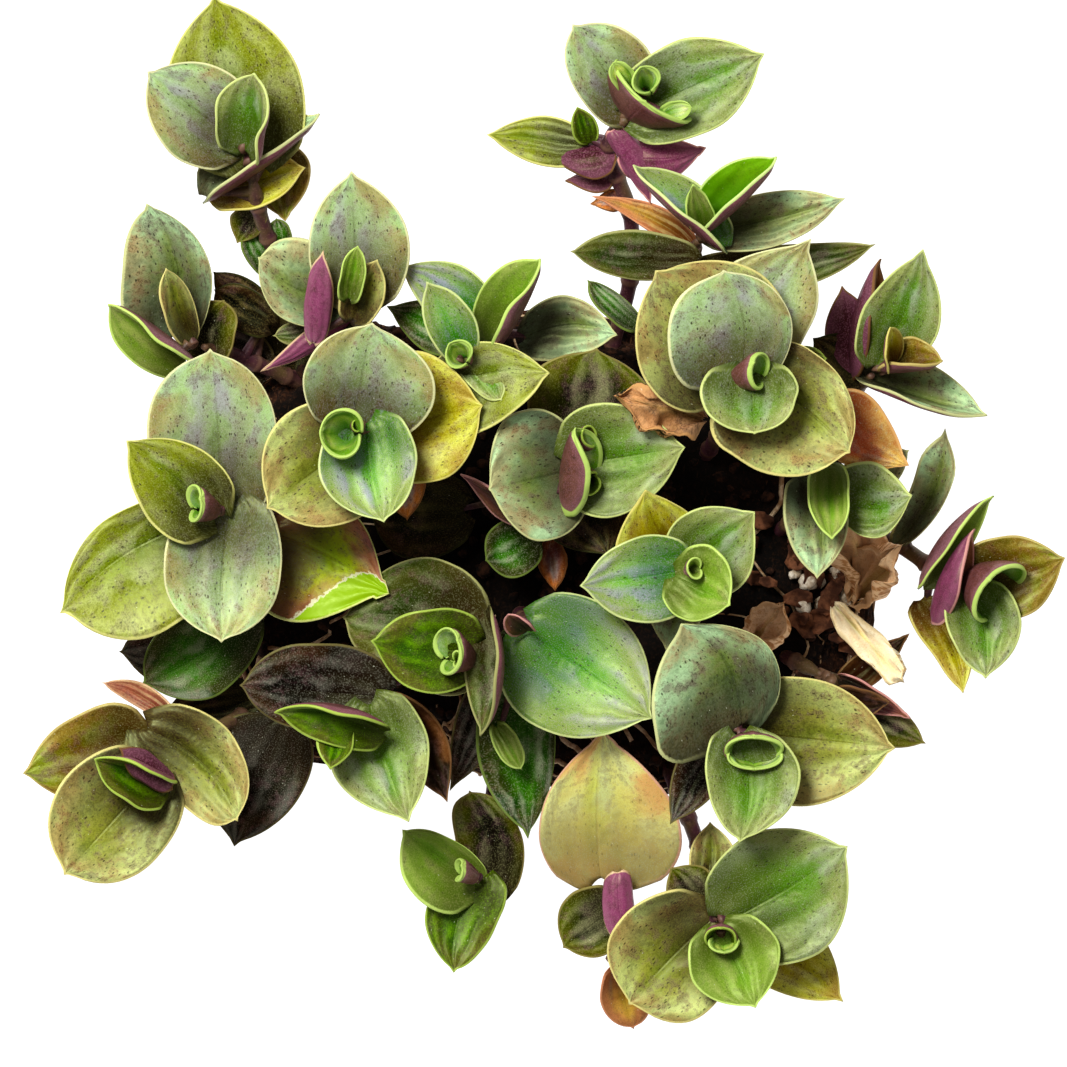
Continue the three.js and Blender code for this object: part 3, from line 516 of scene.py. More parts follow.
def bladePiece(name, leaf, base):
    # A flat grid with a thickness, laid on the blade's surface, and the attributes that its finish reads.
    blade = Blade(leaf, base)
    half = leaf["wide"] / 2
    small = leaf["wide"] < bladeHabit["smallWidth"]
    rows = bladeHabit["smallRows" if small else "rows"]
    columns = bladeHabit["smallColumns" if small else "columns"]
    bm = bmesh.new()
    bmesh.ops.create_grid(bm, x_segments=columns, y_segments=rows, size=1)
    bmesh.ops.solidify(bm, geom=bm.faces[:], thickness=1)
    place = bm.verts.layers.float_vector.new("place")
    share = bm.verts.layers.float_vector.new("share")
    margin = bm.verts.layers.float.new("margin")
    face = bm.verts.layers.float.new("face")
    topZ = max(v.co.z for v in bm.verts)
    step = 0.02  # over which the outline's slope is taken
    for vert in bm.verts:
        across = vert.co.x
        along = (vert.co.y + 1) / 2
        along = along + 0.35 * along * (1 - along) * (2 * along - 1)  # more rows near the two ends
        side = 1 if vert.co.z > topZ - 0.5 else -1
        width = bladeWidth(blade.outline, along)
        ahead = bladeWidth(blade.outline, min(1, along + step))
        behind = bladeWidth(blade.outline, max(0, along - step))
        slope = half * (ahead - behind) / (2 * step * blade.length)
        inside = half * width * (1 - abs(across)) / math.hypot(1, slope)
        inside = min(inside, along * blade.length + 0.1)
        body = min(1, inside / bladeHabit["rimBody"])
        thick = bladeHabit["rimThickness"] + (bladeHabit["thickness"] - bladeHabit["rimThickness"]) * body
        thick *= min(1, 0.45 + leaf["wide"] / 20)
        vert[place] = (along * blade.length, across * half * (0.35 + 0.65 * width), blade.chance * 90)
        vert[share] = (along, across, min(1, inside / half))
        vert[margin] = inside
        vert[face] = side
        vert.co = blade.at(along, across, side * thick / 2) * mm
    bmesh.ops.remove_doubles(bm, verts=bm.verts[:], dist=bladeHabit["weld"] * mm)
    bmesh.ops.recalc_face_normals(bm, faces=bm.faces[:])
    return finished(name, bm, leafMaterials[leaf["tone"]])


def gather(whole, shape):
    # Adds a small shape, in millimetres, to a larger one and frees it.
    bmesh.ops.recalc_face_normals(shape, faces=shape.faces[:])
    shape.transform(Matrix.Scale(mm, 4))
    carrier = bpy.data.meshes.new("carrier")
    shape.to_mesh(carrier)
    shape.free()
    whole.from_mesh(carrier)
    bpy.data.meshes.remove(carrier)


def newWhole():
    whole = bmesh.new()
    whole.verts.layers.float.new("run")
    return whole


def routeThrough(places, step):
    # Points along a smooth line through the given places.
    points = []
    ends = [places[0] * 2 - places[1], *places, places[-1] * 2 - places[-2]]
    for before, start, stop, after in zip(ends, ends[1:], ends[2:], ends[3:]):
        count = max(2, math.ceil((stop - start).length / step))
        for i in range(count):
            t = i / count
            linear = (stop - before) * t
            square = (2 * before - 5 * start + 4 * stop - after) * t * t
            cube = (3 * start - before - 3 * stop + after) * t**3
            points.append((2 * start + linear + square + cube) / 2)
    points.append(places[-1])
    return points


def addTube(whole, points, radii, sides):
    # A closed tube along the points, made by drawing out one ring after another.
    bm = bmesh.new()
    layer = bm.verts.layers.float.new("run")
    heading = (points[1] - points[0]).normalized()
    turned = up.rotation_difference(heading).to_matrix().to_4x4()
    start = Matrix.Translation(points[0]) @ turned @ Matrix.Scale(radii[0], 4)
    bmesh.ops.create_circle(bm, cap_ends=True, radius=1, segments=sides, matrix=start)
    edges = bm.edges[:]
    run = 0
    for i in range(1, len(points)):
        out = bmesh.ops.extrude_edge_only(bm, edges=edges)["geom"]
        ring = [g for g in out if isinstance(g, bmesh.types.BMVert)]
        edges = [g for g in out if isinstance(g, bmesh.types.BMEdge) and all(v in ring for v in g.verts)]
        run += (points[i] - points[i - 1]).length
        newHeading = (points[min(i + 1, len(points) - 1)] - points[i - 1]).normalized()
        swing = heading.rotation_difference(newHeading).to_matrix().to_4x4()
        grow = Matrix.Scale(radii[i] / radii[i - 1], 4)
        move = Matrix.Translation(points[i]) @ swing @ grow @ Matrix.Translation(-points[i - 1])
        bmesh.ops.transform(bm, matrix=move, verts=ring)
        for vert in ring:
            vert[layer] = run
        heading = newHeading
    bmesh.ops.contextual_create(bm, geom=edges)
    gather(whole, bm)


stemHabit = dict(
    radius=1.25,
    nodeSpacing=6.5,
    nodeSwell=0.3,
    nodeLength=0.7,
    tipRadius=0.3,  # as a share of the whole radius
    tipLength=5,  # how slowly the tip thickens
    sides=14,
    stepLength=0.8,
    start=5,  # how far below the head it shows
    crown=2,  # a leaf that leaves it nearer than this to the first bend, or below, isn't the head's
    skin=("#56303a", "#645232"),
    blotch="#33171e",
    fleck="#997264",
    joint="#80614c",
)
stalkHabit = dict(
    radius=1.05,
    taper=0.65,
    sides=10,
    stepLength=0.8,
    sag=0.08,  # as a share of the stalk's length
    reach=0.08,  # how far along the blade the stalk ends, as a share of that
    sunk=0.45,  # how far below the blade's middle it ends
    flipped=120,  # from this roll on, below is above
    shortest=0.5,
)


def stemFinish():
    r = Recipe("stem_skin")
    spot = r.here()
    mottle = r.cloud(spot, 700, 4, 0.6)
    drift = r.cloud(spot, 160, 2)
    fine = r.cloud(spot, 3200, 2)
    joints = (r.written("run") * (math.pi / stemHabit["nodeSpacing"]) + math.pi / 2).wave()
    colour = r.blend(drift.rise(0.4, 0.62), *(tint(code) for code in stemHabit["skin"]))
    colour = r.blend(mottle.rise(0.5, 0.7) * 0.7, colour, tint(stemHabit["blotch"]))
    colour = r.blend(fine.rise(0.55, 0.7) * 0.4, colour, tint(stemHabit["fleck"]))
    colour = r.blend(abs(joints).rise(0.95, 1.0) * 0.6, colour, tint(stemHabit["joint"]))
    r.set(colour=colour, roughness=0.5, specular=0.4)
    r.bump(mottle * 0.6 + fine * 0.3, 0.5, 0.3 * mm)
    return r.material


stemMaterial = stemFinish()


def stemRadii(points):
    radii, run = [], 0
    spacing = stemHabit["nodeSpacing"]
    for i, point in enumerate(points):
        run += (point - points[i - 1]).length if i else 0
        near = ((run / spacing + 0.5) % 1 - 0.5) * spacing
        swell = stemHabit["nodeSwell"] * math.exp(-((near / stemHabit["nodeLength"]) ** 2))
        thick = stemHabit["radius"] * (1 + swell)
        radii.append(thick * min(1, stemHabit["tipRadius"] + run / stemHabit["tipLength"]))
    return radii


# Each shoot has the place of its head, the bends that its stem takes down to the soil, and its leaves. A
# leaf starts down millimetres below the head, or at a place of its own, and ends at tip. wide is its width,
# cup how far its sides turn up in degrees, and tone its look. roll turns it about its length, face is the
# heading that its upper side has in place of up, and fold creases its middle. kind is its outline, which
# widest, point and lobe change. lean makes one side wider, bend bows it sideways, flare opens its tip, flat
# presses its cup down and ripple crumples it.
shoots = [
    dict(name="top_left", head=(-47.5, 63.5, 36),
         bends=[(-44, 49, 25), (-37, 38, 18), (-30, 28, 10)], leaves=[
        dict(down=0.5, tip=(-46, 75.8, 45), wide=14, cup=85, tone="green", roll=30, kind="heart"),
        dict(at=(-48.8, 64.5, 34), tip=(-63.7, 76.2, 38), wide=16.9, cup=22, tone="silver", kind="heart",
             widest=0.38, point=0.74),
        dict(at=(-46.6, 61.6, 33), tip=(-52.7, 88.8, 36), wide=23.3, cup=16, tone="lime", kind="heart",
             widest=0.37, lean=0.04, bend=-0.03),
        dict(at=(-54, 55.6, 30), tip=(-35.3, 69.3, 35), wide=15, cup=35, tone="sage", roll=45, fold=40),
        dict(at=(-53.3, 56.1, 27), tip=(-37.7, 60.5, 30), wide=11.6, cup=45, tone="mustard", roll=15,
             lean=-0.04, bend=-0.02),
        dict(at=(-43.3, 64.1, 26), tip=(-41.1, 51.7, 25), wide=11.1, cup=20, tone="bronze", widest=0.36,
             point=1.04, lean=-0.05),
        dict(down=13, tip=(-49.1, 48.1, 24), wide=6, cup=30, tone="plum", lean=0.11, bend=0.07),
        dict(at=(-43.6, 43.6, 22.5), tip=(-47.6, 50.5, 25), wide=5.4, cup=25, tone="deep", kind="round"),
        dict(at=(-41.6, 47, 24.5), tip=(-42.6, 52.2, 26), wide=4.2, cup=25, tone="deep", kind="round"),
    ]),
    dict(name="left", head=(-57.5, 31.5, 30), bends=[(-51, 30, 20), (-43, 27, 14), (-37, 24, 9)], leaves=[
        dict(at=(-57.4, 28.8, 30), tip=(-70.2, 37.8, 38), wide=13, cup=35, tone="bright", roll=45, fold=40,
             kind="heart"),
        dict(at=(-56.4, 32, 28.3), tip=(-60.6, 43.8, 37), wide=7.4, cup=50, tone="olive", roll=-20,
             widest=0.48, point=0.79, lean=-0.28),
        dict(at=(-59.6, 32.7, 25.8), tip=(-64, 54.6, 31), wide=15.8, cup=20, tone="sage", kind="heart",
             widest=0.33, point=0.7, lean=-0.31, bend=0.13),
        dict(at=(-54.5, 28.2, 23), tip=(-51.2, 38.7, 25), wide=10.8, cup=35, tone="plum", widest=0.48,
             point=0.53, bend=-0.12),
        # The low, near-black leaves from here on fill a dark gap under the foliage with painted shade.
        dict(at=(-43.9, 34.6, 16), tip=(-53.2, 43.5, 18), wide=7.2, cup=20, tone="night", point=0.79),
        dict(at=(-44, 34.5, 20), tip=(-53, 40.5, 20.5), wide=7.5, cup=25, tone="night", kind="round"),
        dict(at=(-43, 29, 12), tip=(-47, 41, 14), wide=14, cup=20, tone="night", kind="round"),
        dict(at=(-40, 26.5, 11), tip=(-37, 39, 13), wide=12, cup=20, tone="night", kind="round"),
        dict(at=(-45, 27, 13), tip=(-55, 32.5, 14), wide=11, cup=20, tone="ink", kind="round"),
    ]),
    dict(name="upper_left", head=(-30.5, 39, 42),
         bends=[(-28, 33, 28), (-24, 29, 19), (-21, 25, 10)], leaves=[
        dict(down=0.5, tip=(-28.9, 47.3, 47), wide=6, cup=80, tone="bright", kind="heart"),
        dict(at=(-29, 38.4, 38.4), tip=(-30, 59.7, 42), wide=17.1, cup=18, tone="silver", kind="heart",
             lean=0.08),
        dict(at=(-29.7, 39.5, 36), tip=(-45.5, 45.6, 37), wide=15, cup=22, tone="sage", kind="round",
             widest=0.32, point=0.5, lean=0.22, bend=-0.15),
        dict(at=(-36.3, 31.5, 37), tip=(-34.6, 46.6, 44), wide=6.24, cup=60, tone="lilac", roll=-160),
        dict(at=(-29.7, 35.4, 38), tip=(-25.7, 45.1, 44), wide=7.8, cup=40, tone="olive", kind="heart",
             widest=0.38, point=0.87),
        dict(at=(-29.5, 36.4, 33), tip=(-45.2, 26.8, 30), wide=5.07, cup=50, tone="lilac", roll=-150,
             kind="lance"),
        dict(down=10, tip=(-43.2, 32.7, 31), wide=5.2, cup=25, tone="dusk", kind="round", point=0.54,
             bend=-0.03),
    ]),
    dict(name="top", head=(-7.5, 35, 41), bends=[(-7, 31, 26), (-6, 28, 18), (-5, 25, 10)], leaves=[
        dict(at=(-6, 31.5, 39), tip=(1.1, 45.2, 49), wide=15, cup=35, tone="bright", roll=50, fold=40,
             kind="heart"),
        dict(at=(-7.9, 33.5, 35.2), tip=(-22, 44.1, 37), wide=10.8, cup=20, tone="fresh", widest=0.35,
             point=0.83, lean=-0.04, bend=0.09),
        dict(at=(-1.2, 32.4, 33), tip=(13.9, 32.7, 36), wide=10.9, cup=20, tone="sage", kind="heart",
             widest=0.34, point=0.85, lean=0.08, bend=-0.13),
        dict(down=9, tip=(-24.3, 37.6, 31), wide=9.4, cup=20, tone="deep", point=0.93, lean=-0.07,
             bend=-0.04),
    ]),
    dict(name="inner_top", head=(-12.5, 28.5, 47),
         bends=[(-12, 26, 31), (-11, 23, 20), (-9, 19, 10)], leaves=[
        dict(at=(-11.4, 28.4, 43), tip=(-13.9, 31.2, 48.5), wide=10, cup=165, tone="sheath", face=315,
             kind="heart", flare=1.3),
        dict(at=(-11.4, 29, 44.5), tip=(-17.6, 41.4, 49), wide=8.9, cup=35, tone="fresh", lean=0.04,
             bend=0.02),
        dict(at=(-11.9, 29.3, 43), tip=(-5.2, 21.8, 46), wide=6.3, cup=22, tone="green", kind="round",
             bend=-0.07),
        dict(at=(-15.8, 23.2, 43), tip=(2.7, 26.4, 48), wide=15.4, cup=18, tone="lime", kind="heart",
             widest=0.24, point=0.86, lean=0.24, bend=-0.09),
    ]),
    dict(name="crown_left", head=(-28, 17.5, 54),
         bends=[(-26, 16, 36), (-24, 13, 22), (-22, 10, 10)], leaves=[
        dict(at=(-31.2, 16.2, 49.5), tip=(-35, 16.5, 57), wide=18.5, cup=170, tone="sheath", face=0,
             kind="heart", flare=1.4),
        dict(at=(-27.4, 18.1, 50), tip=(-24.5, 1.8, 54), wide=17, cup=28, tone="fresh", kind="round",
             widest=0.36, point=0.71, bend=0.06),
        dict(at=(-29.6, 18.1, 47.1), tip=(-26.5, 34.6, 53), wide=22.5, cup=22, tone="silver", kind="round",
             widest=0.41, point=0.7, lean=0.14),
        dict(at=(-26.5, 16.4, 45.1), tip=(-43.9, 4.1, 48), wide=21.3, cup=22, tone="olive", kind="round",
             widest=0.41, point=0.69, bend=0.02),
        dict(down=11, tip=(-8.3, 21.1, 47), wide=22.5, cup=20, tone="mustard", kind="heart", widest=0.44,
             point=0.69, lean=-0.05),
        dict(at=(-24.7, 15.6, 40.1), tip=(-20.8, 2.1, 41), wide=8.1, cup=25, tone="copper", widest=0.46,
             point=0.73, lean=-0.08, bend=-0.07),
        dict(at=(-29.2, 17.4, 51), tip=(-29.7, 17.8, 55.5), wide=5, cup=168, tone="moss", face=0, flare=0.8),
    ]),
    dict(name="broad_left", head=(-53, 4, 46), bends=[(-47, 3, 30), (-41, 2, 19), (-36, 1, 10)], leaves=[
        dict(at=(-51.6, 3.8, 42.3), tip=(-54.9, 5.8, 49.8), wide=13, cup=165, tone="sheath", face=185,
             flare=1.3),
        dict(at=(-52.5, 3.1, 42), tip=(-67, 15.3, 46), wide=15.4, cup=22, tone="lime", kind="round",
             widest=0.24, point=0.86, lean=-0.13, bend=0.03),
        dict(at=(-49.9, 4.5, 40.4), tip=(-51.4, -18, 43), wide=20.1, cup=18, tone="silver", kind="round",
             widest=0.42, bend=0.03),
        dict(at=(-51.7, 3.3, 37.6), tip=(-53.3, 30.5, 41), wide=22, cup=18, tone="silver", kind="round",
             point=0.57, lean=-0.11, bend=0.02),
        dict(at=(-47.8, 2.9, 34.8), tip=(-78.2, -13.2, 35), wide=21.4, cup=18, tone="lime", kind="heart",
             widest=0.55, point=0.67, lean=-0.38, bend=0.11),
        dict(at=(-42.6, -0.1, 32), tip=(-23.8, -10, 34), wide=22.2, cup=18, tone="scarred", kind="heart",
             widest=0.31, point=1.2, lean=0.19, bend=-0.04),
        dict(at=(-48, -12.7, 24), tip=(-64.9, -24.9, 22), wide=15, cup=20, tone="deep", kind="round",
             widest=0.46, point=0.65, bend=-0.08),
        dict(at=(-49.8, -13.2, 18), tip=(-68.9, -19.6, 15), wide=12.9, cup=15, tone="ink", widest=0.47,
             point=0.57, lean=-0.21, bend=-0.12),
    ]),
    dict(name="centre", head=(5.5, 11.5, 45), bends=[(6, 10, 28), (6, 8, 19), (5, 6, 10)], leaves=[
        dict(at=(4.8, 5.4, 40), tip=(7, 17.4, 49), wide=14, cup=50, tone="sheath", roll=-80, fold=40,
             kind="round"),
        dict(down=4, tip=(25, 14.2, 45), wide=19.6, cup=20, tone="green", kind="heart", widest=0.3,
             point=0.85),
        dict(at=(6.6, 10.5, 39), tip=(-7.4, 7.3, 44), wide=22.7, cup=20, tone="sage", kind="round",
             widest=0.42, lean=0.05),
        dict(at=(7.3, 11.2, 35), tip=(10.4, 30.6, 39), wide=21.1, cup=18, tone="plum", kind="heart",
             widest=0.59, point=0.66, lean=-0.07, bend=0.05),
        dict(down=13, tip=(12.4, -3.7, 34), wide=16.4, cup=18, tone="night", kind="heart", widest=0.38,
             point=0.87),
        dict(at=(0, -1, 25), tip=(-8, -4.5, 27), wide=10, cup=20, tone="deep", kind="round"),
        dict(at=(-1.6, 2.1, 33), tip=(-12.1, 9.8, 33), wide=6.9, cup=40, tone="magenta", roll=60,
             kind="lance", point=0.94),
        dict(at=(3, -1, 21), tip=(3.6, -9.6, 21), wide=5, cup=30, tone="copper", ripple=0.3),
        dict(at=(-11.6, 3.9, 22), tip=(-27.2, 2.9, 22), wide=15.2, cup=15, tone="night", kind="round",
             widest=0.48, point=0.58, lean=-0.04),
        dict(at=(7.2, 14.6, 41), tip=(8.2, 17, 47.5), wide=8.5, cup=165, tone="moss", face=340, flare=0.6),
        dict(at=(7.6, 9.6, 41), tip=(8.2, 7, 47), wide=9.5, cup=165, tone="moss", face=20, flare=0.6),
    ]),
    dict(name="crown_right", head=(35.5, 25.5, 58), bends=[(34, 22, 38), (31, 17, 24), (28, 12, 10)], leaves=[
        dict(at=(32.4, 25.6, 52), tip=(36.2, 28, 60), wide=14, cup=165, tone="sheath", face=345, flare=1.3),
        dict(at=(35.7, 25.6, 54), tip=(36.2, 16.3, 59), wide=16.9, cup=30, tone="green", kind="round",
             widest=0.28, point=0.45, lobe=0.3, lean=0.07),
        dict(at=(33.9, 25.6, 52.1), tip=(31.1, 43.2, 57), wide=21.5, cup=20, tone="silver", kind="round",
             widest=0.38, point=0.53, lean=-0.26, bend=0.11),
        dict(at=(35.5, 26.5, 50), tip=(52, 13.2, 53), wide=22.5, cup=18, tone="olive", kind="round",
             widest=0.24, point=0.53, lean=0.25, bend=-0.05),
        dict(at=(33.9, 26, 47.2), tip=(20, 43.2, 51), wide=26.9, cup=18, tone="olive", kind="round",
             widest=0.29, point=0.71, bend=0.02),
        dict(at=(34.1, 21.1, 44.2), tip=(45.7, 48.5, 47), wide=17.8, cup=16, tone="silver", kind="heart",
             widest=0.56, point=1.12, bend=-0.11),
        dict(at=(47.8, 19.8, 38), tip=(61.9, 11.2, 40), wide=12, cup=16, tone="rust", widest=0.28, point=0.97,
             lean=-0.29, bend=0.08),
        dict(at=(17.6, 34.1, 33), tip=(8.9, 41.9, 33), wide=5.5, cup=40, tone="deep", roll=-20, widest=0.44,
             point=0.71, lean=-0.25),
        dict(at=(40.1, 28.1, 39), tip=(48.4, 28.9, 40), wide=5.8, cup=20, tone="moss", kind="round",
             point=0.67, lean=0.04, bend=0.03),
        dict(at=(28, 19, 43), tip=(13.6, 22.5, 49), wide=9, cup=90, tone="husk", ripple=1.3),
    ]),
    dict(name="far_top", head=(17.5, 71, 38),
         bends=[(12.5, 64, 29), (16, 53, 23), (16, 42, 17), (13, 31, 10)], leaves=[
        dict(at=(18.2, 73.4, 36), tip=(17.6, 76.8, 42.5), wide=10.5, cup=165, tone="sheath", face=300,
             flare=1.2),
        dict(at=(15.8, 68.6, 33.5), tip=(18.4, 71.2, 44), wide=20, cup=62, tone="sheath", face=52,
             kind="round", widest=0.5, point=0.5),
        dict(at=(16.4, 69.3, 35.1), tip=(38.1, 79.1, 40), wide=16.5, cup=22, tone="green", kind="heart",
             point=0.88),
        dict(at=(15.8, 69.5, 33.7), tip=(6.4, 84, 38), wide=14.3, cup=22, tone="silver", kind="round",
             widest=0.41, point=0.74, lean=0.15, bend=0.02),
        dict(at=(14, 62.8, 31.5), tip=(28.6, 63.8, 31), wide=10, cup=55, tone="magenta", roll=180,
             kind="lance", bend=-0.1),
        dict(at=(8.6, 64, 28), tip=(-7.8, 66, 27), wide=8.8, cup=25, tone="lime", kind="lance", widest=0.4,
             point=0.85, lean=-0.09, bend=0.03),
        dict(at=(9.3, 64.6, 29), tip=(7.2, 70.5, 33), wide=4.8, cup=40, tone="moss"),
        dict(at=(12.9, 66.6, 32.8), tip=(19.4, 54.6, 30), wide=6.2, cup=75, tone="magenta", roll=165,
             kind="lance", bend=0.06),
        dict(at=(13.6, 63, 29), tip=(3, 61.8, 27), wide=9, cup=30, tone="umber", roll=150, kind="lance"),
        dict(at=(13.2, 58.6, 26), tip=(5.2, 58.4, 24), wide=5, cup=30, tone="umber", roll=150, kind="lance"),
        dict(at=(15.2, 55.5, 25), tip=(9.4, 54.6, 23), wide=4, cup=30, tone="copper", kind="lance"),
        dict(at=(15.8, 73.6, 39.5), tip=(13.1, 77.6, 43), wide=4.6, cup=50, tone="sheath", kind="round"),
        dict(at=(21.4, 69.2, 39), tip=(26.1, 70.2, 42.5), wide=3.8, cup=50, tone="sheath", kind="round"),
    ]),
    dict(name="long_top", head=(28, 50.5, 40), bends=[(26, 45, 27), (24, 37, 19), (22, 31, 10)], leaves=[
        dict(down=0, tip=(26.2, 57.4, 47), wide=6, cup=60, tone="bright", kind="lance"),
        dict(at=(28.3, 50.3, 38), tip=(40, 62, 46), wide=13, cup=35, tone="neon", roll=48, fold=40),
        dict(at=(31.5, 47.2, 37), tip=(16.4, 60.7, 43), wide=12, cup=35, tone="fresh", roll=-46, fold=40),
        dict(at=(27.8, 49.6, 35.4), tip=(51.5, 55.3, 37), wide=9.5, cup=22, tone="sage", widest=0.43,
             point=0.89, bend=0.02),
        dict(at=(27.1, 44.9, 33.6), tip=(6, 46.6, 34), wide=8.5, cup=22, tone="dusk", widest=0.48, point=0.75,
             lean=0.18, bend=-0.02),
        dict(at=(26.9, 43.8, 29.1), tip=(56.7, 47.9, 29), wide=7.8, cup=18, tone="dusk", widest=0.39,
             point=0.72, bend=0.06),
        dict(at=(26.7, 47.2, 30.9), tip=(9.6, 55.8, 29), wide=5, cup=30, tone="blush", kind="lance",
             bend=0.07),
    ]),
    dict(name="right_upper", head=(58, 27.5, 36), bends=[(53, 24, 24), (47, 19, 16), (41, 15, 9)], leaves=[
        dict(at=(59, 27.7, 36), tip=(58.8, 34, 42), wide=6.5, cup=45, tone="mustard", roll=-60, kind="heart"),
        dict(at=(58.3, 27.4, 34), tip=(67.5, 28.5, 39), wide=10.5, cup=40, tone="bronze", roll=50, fold=40,
             kind="heart"),
        dict(at=(56.4, 27.6, 33.3), tip=(64.2, 46.9, 41), wide=13.5, cup=30, tone="green", widest=0.4,
             point=1.05, bend=0.05),
        dict(at=(53, 26.2, 27), tip=(57.4, 45.4, 32), wide=12, cup=45, tone="umber", roll=-70, fold=35,
             bend=-0.12),
        dict(at=(54.3, 26.2, 29.5), tip=(75, 19.5, 32), wide=12, cup=35, tone="sage", roll=38, fold=30),
        dict(at=(54.9, 25.6, 28), tip=(46.2, 32.3, 31), wide=9.7, cup=20, tone="night"),
        dict(at=(55.4, 25.4, 27.5), tip=(51, 41, 30), wide=9.5, cup=30, tone="umber", roll=170, bend=0.05),
    ]),
    dict(name="right_inner", head=(49, 7, 40), bends=[(47, 5, 28), (43, 2, 18), (40, 0, 10)], leaves=[
        dict(at=(48.4, 11.2, 37), tip=(49.1, -1, 46), wide=9.5, cup=75, tone="bright"),
        dict(at=(50.5, 5.4, 37.1), tip=(62.4, 6.3, 41), wide=13.3, cup=22, tone="green", widest=0.41,
             point=0.86, lean=-0.26, bend=0.15),
        dict(at=(45.1, 9.3, 36.1), tip=(46.7, -7.5, 40), wide=11.1, cup=30, tone="sage", widest=0.42,
             point=0.82, lean=0.14, bend=-0.09),
        dict(at=(49.7, 5.8, 33.2), tip=(62, 13.8, 36), wide=8.2, cup=20, tone="sage", widest=0.44,
             point=0.71),
    ]),
    dict(name="far_right", head=(74, -10.5, 32), bends=[(68, -7, 20), (59, -1, 13), (50, 1, 8)], leaves=[
        dict(at=(72, -6.4, 27.5), tip=(75.3, -7.8, 38), wide=20, cup=110, tone="sheath", face=318, point=0.6,
             flare=0.8),
        dict(at=(72.3, -8.9, 29.4), tip=(74.7, -24, 32), wide=13.1, cup=28, tone="green", kind="heart",
             widest=0.36, lean=-0.04, bend=-0.07),
        dict(at=(72, -8.3, 27.7), tip=(87.9, -4, 31), wide=14.9, cup=25, tone="bronze", kind="heart",
             widest=0.34, point=0.85, bend=0.05),
        dict(at=(66.2, -14, 24), tip=(73, 0.8, 31), wide=11, cup=45, tone="magenta", roll=-80, fold=40,
             bend=-0.16),
        dict(at=(64.5, -8.5, 23), tip=(76.1, 6.2, 31), wide=10, cup=35, tone="bright", roll=-60, fold=40,
             bend=-0.12),
        dict(at=(60.3, -1.6, 19), tip=(68.2, 17.5, 24), wide=6.7, cup=25, tone="sage", widest=0.64,
             point=1.15, lean=-0.23, bend=0.11),
        dict(at=(64.2, -11.1, 16), tip=(71.3, -26.6, 19), wide=8.8, cup=40, tone="mustard", kind="lance",
             widest=0.3, point=0.75, bend=-0.09),
    ]),
    dict(name="inner_right", head=(25.5, -6.5, 50), bends=[(25, -5, 33), (24, -4, 21), (22, -3, 10)], leaves=[
        dict(at=(25.7, -6, 47), tip=(25.3, -5.6, 52.5), wide=7.6, cup=168, tone="bright", face=0, flare=1.2),
        dict(at=(23.3, -7, 47.5), tip=(32.3, -11.8, 52), wide=13.4, cup=25, tone="bright", kind="round",
             widest=0.37, point=0.74, lean=-0.12),
        dict(down=5, tip=(7.6, -8.6, 49), wide=15, cup=20, tone="fresh", kind="heart", widest=0.35,
             point=0.86, lean=-0.08),
        dict(at=(24.7, -6.2, 43), tip=(36.4, 3.6, 47), wide=15.6, cup=20, tone="green", kind="heart",
             widest=0.36, point=1.03, lean=0.05),
        dict(at=(24.9, -4.8, 41), tip=(18.4, 7.2, 49), wide=15.1, cup=20, tone="mustard", widest=0.41,
             point=1.05, lean=-0.2, bend=-0.08),
        dict(down=13, tip=(21.8, -19.2, 38), wide=10.2, cup=20, tone="sage", point=0.94),
    ]),
    dict(name="glossy", head=(-1, -16, 40), bends=[(-1, -15, 27), (-2, -14, 19), (-2, -13, 10)], leaves=[
        dict(down=0, tip=(-4.2, -13.3, 46), wide=6, cup=70, tone="magenta", roll=40),
        dict(down=2, tip=(19.6, -30.5, 42), wide=23.5, cup=14, tone="fresh", kind="heart", widest=0.35,
             lean=0.07),
        dict(at=(-1.2, -15.7, 31), tip=(-0.9, -50.6, 27), wide=13.6, cup=20, tone="deep", widest=0.53,
             point=0.79, lean=0.29),
        dict(at=(-6, -32, 30), tip=(-2, -39, 33), wide=4.6, cup=40, tone="bright", kind="round"),
        dict(at=(-1.3, -15.6, 28), tip=(-13.9, -42.7, 24), wide=9.7, cup=20, tone="ink", widest=0.44),
    ]),
    dict(name="lower_centre", head=(-11.5, -19, 50),
         bends=[(-11, -17, 34), (-11, -16, 22), (-10, -14, 10)], leaves=[
        dict(at=(-9.8, -20.5, 46.5), tip=(-12.6, -17.4, 54), wide=18, cup=160, tone="sheath", face=195,
             flare=1.2, flat=0.85),
        dict(at=(-9.7, -18.7, 47), tip=(-26.7, -17.6, 52), wide=14.9, cup=25, tone="moss", kind="heart",
             widest=0.36, bend=-0.06),
        dict(at=(-7.8, -12.8, 45), tip=(-8.8, -33.3, 49), wide=12, cup=35, tone="dusk", roll=-45, fold=40,
             bend=-0.12),
        dict(at=(-9.3, -19.1, 40.1), tip=(-31.6, -13.9, 31), wide=21.8, cup=16, tone="dusk", kind="round",
             widest=0.25, point=0.55, bend=0.11),
        dict(at=(-11.4, -21.2, 47), tip=(-11.9, -20.4, 54), wide=6, cup=168, tone="bright", face=180,
             flare=1),
    ]),
    dict(name="lower_left", head=(-28.5, -30.5, 44),
         bends=[(-26, -27, 29), (-22, -23, 19), (-18, -20, 10)], leaves=[
        dict(at=(-31.4, -31.1, 44), tip=(-33.4, -38.8, 49), wide=6.5, cup=35, tone="moss", widest=0.45,
             point=0.95, lean=0.08, bend=0.02),
        dict(at=(-24.6, -32.6, 43), tip=(-42.6, -29.4, 49), wide=12.5, cup=35, tone="moss", roll=42, fold=40,
             bend=0.1),
        dict(at=(-27, -28.2, 39.2), tip=(-20.5, -47.5, 43), wide=17.1, cup=22, tone="green", kind="heart",
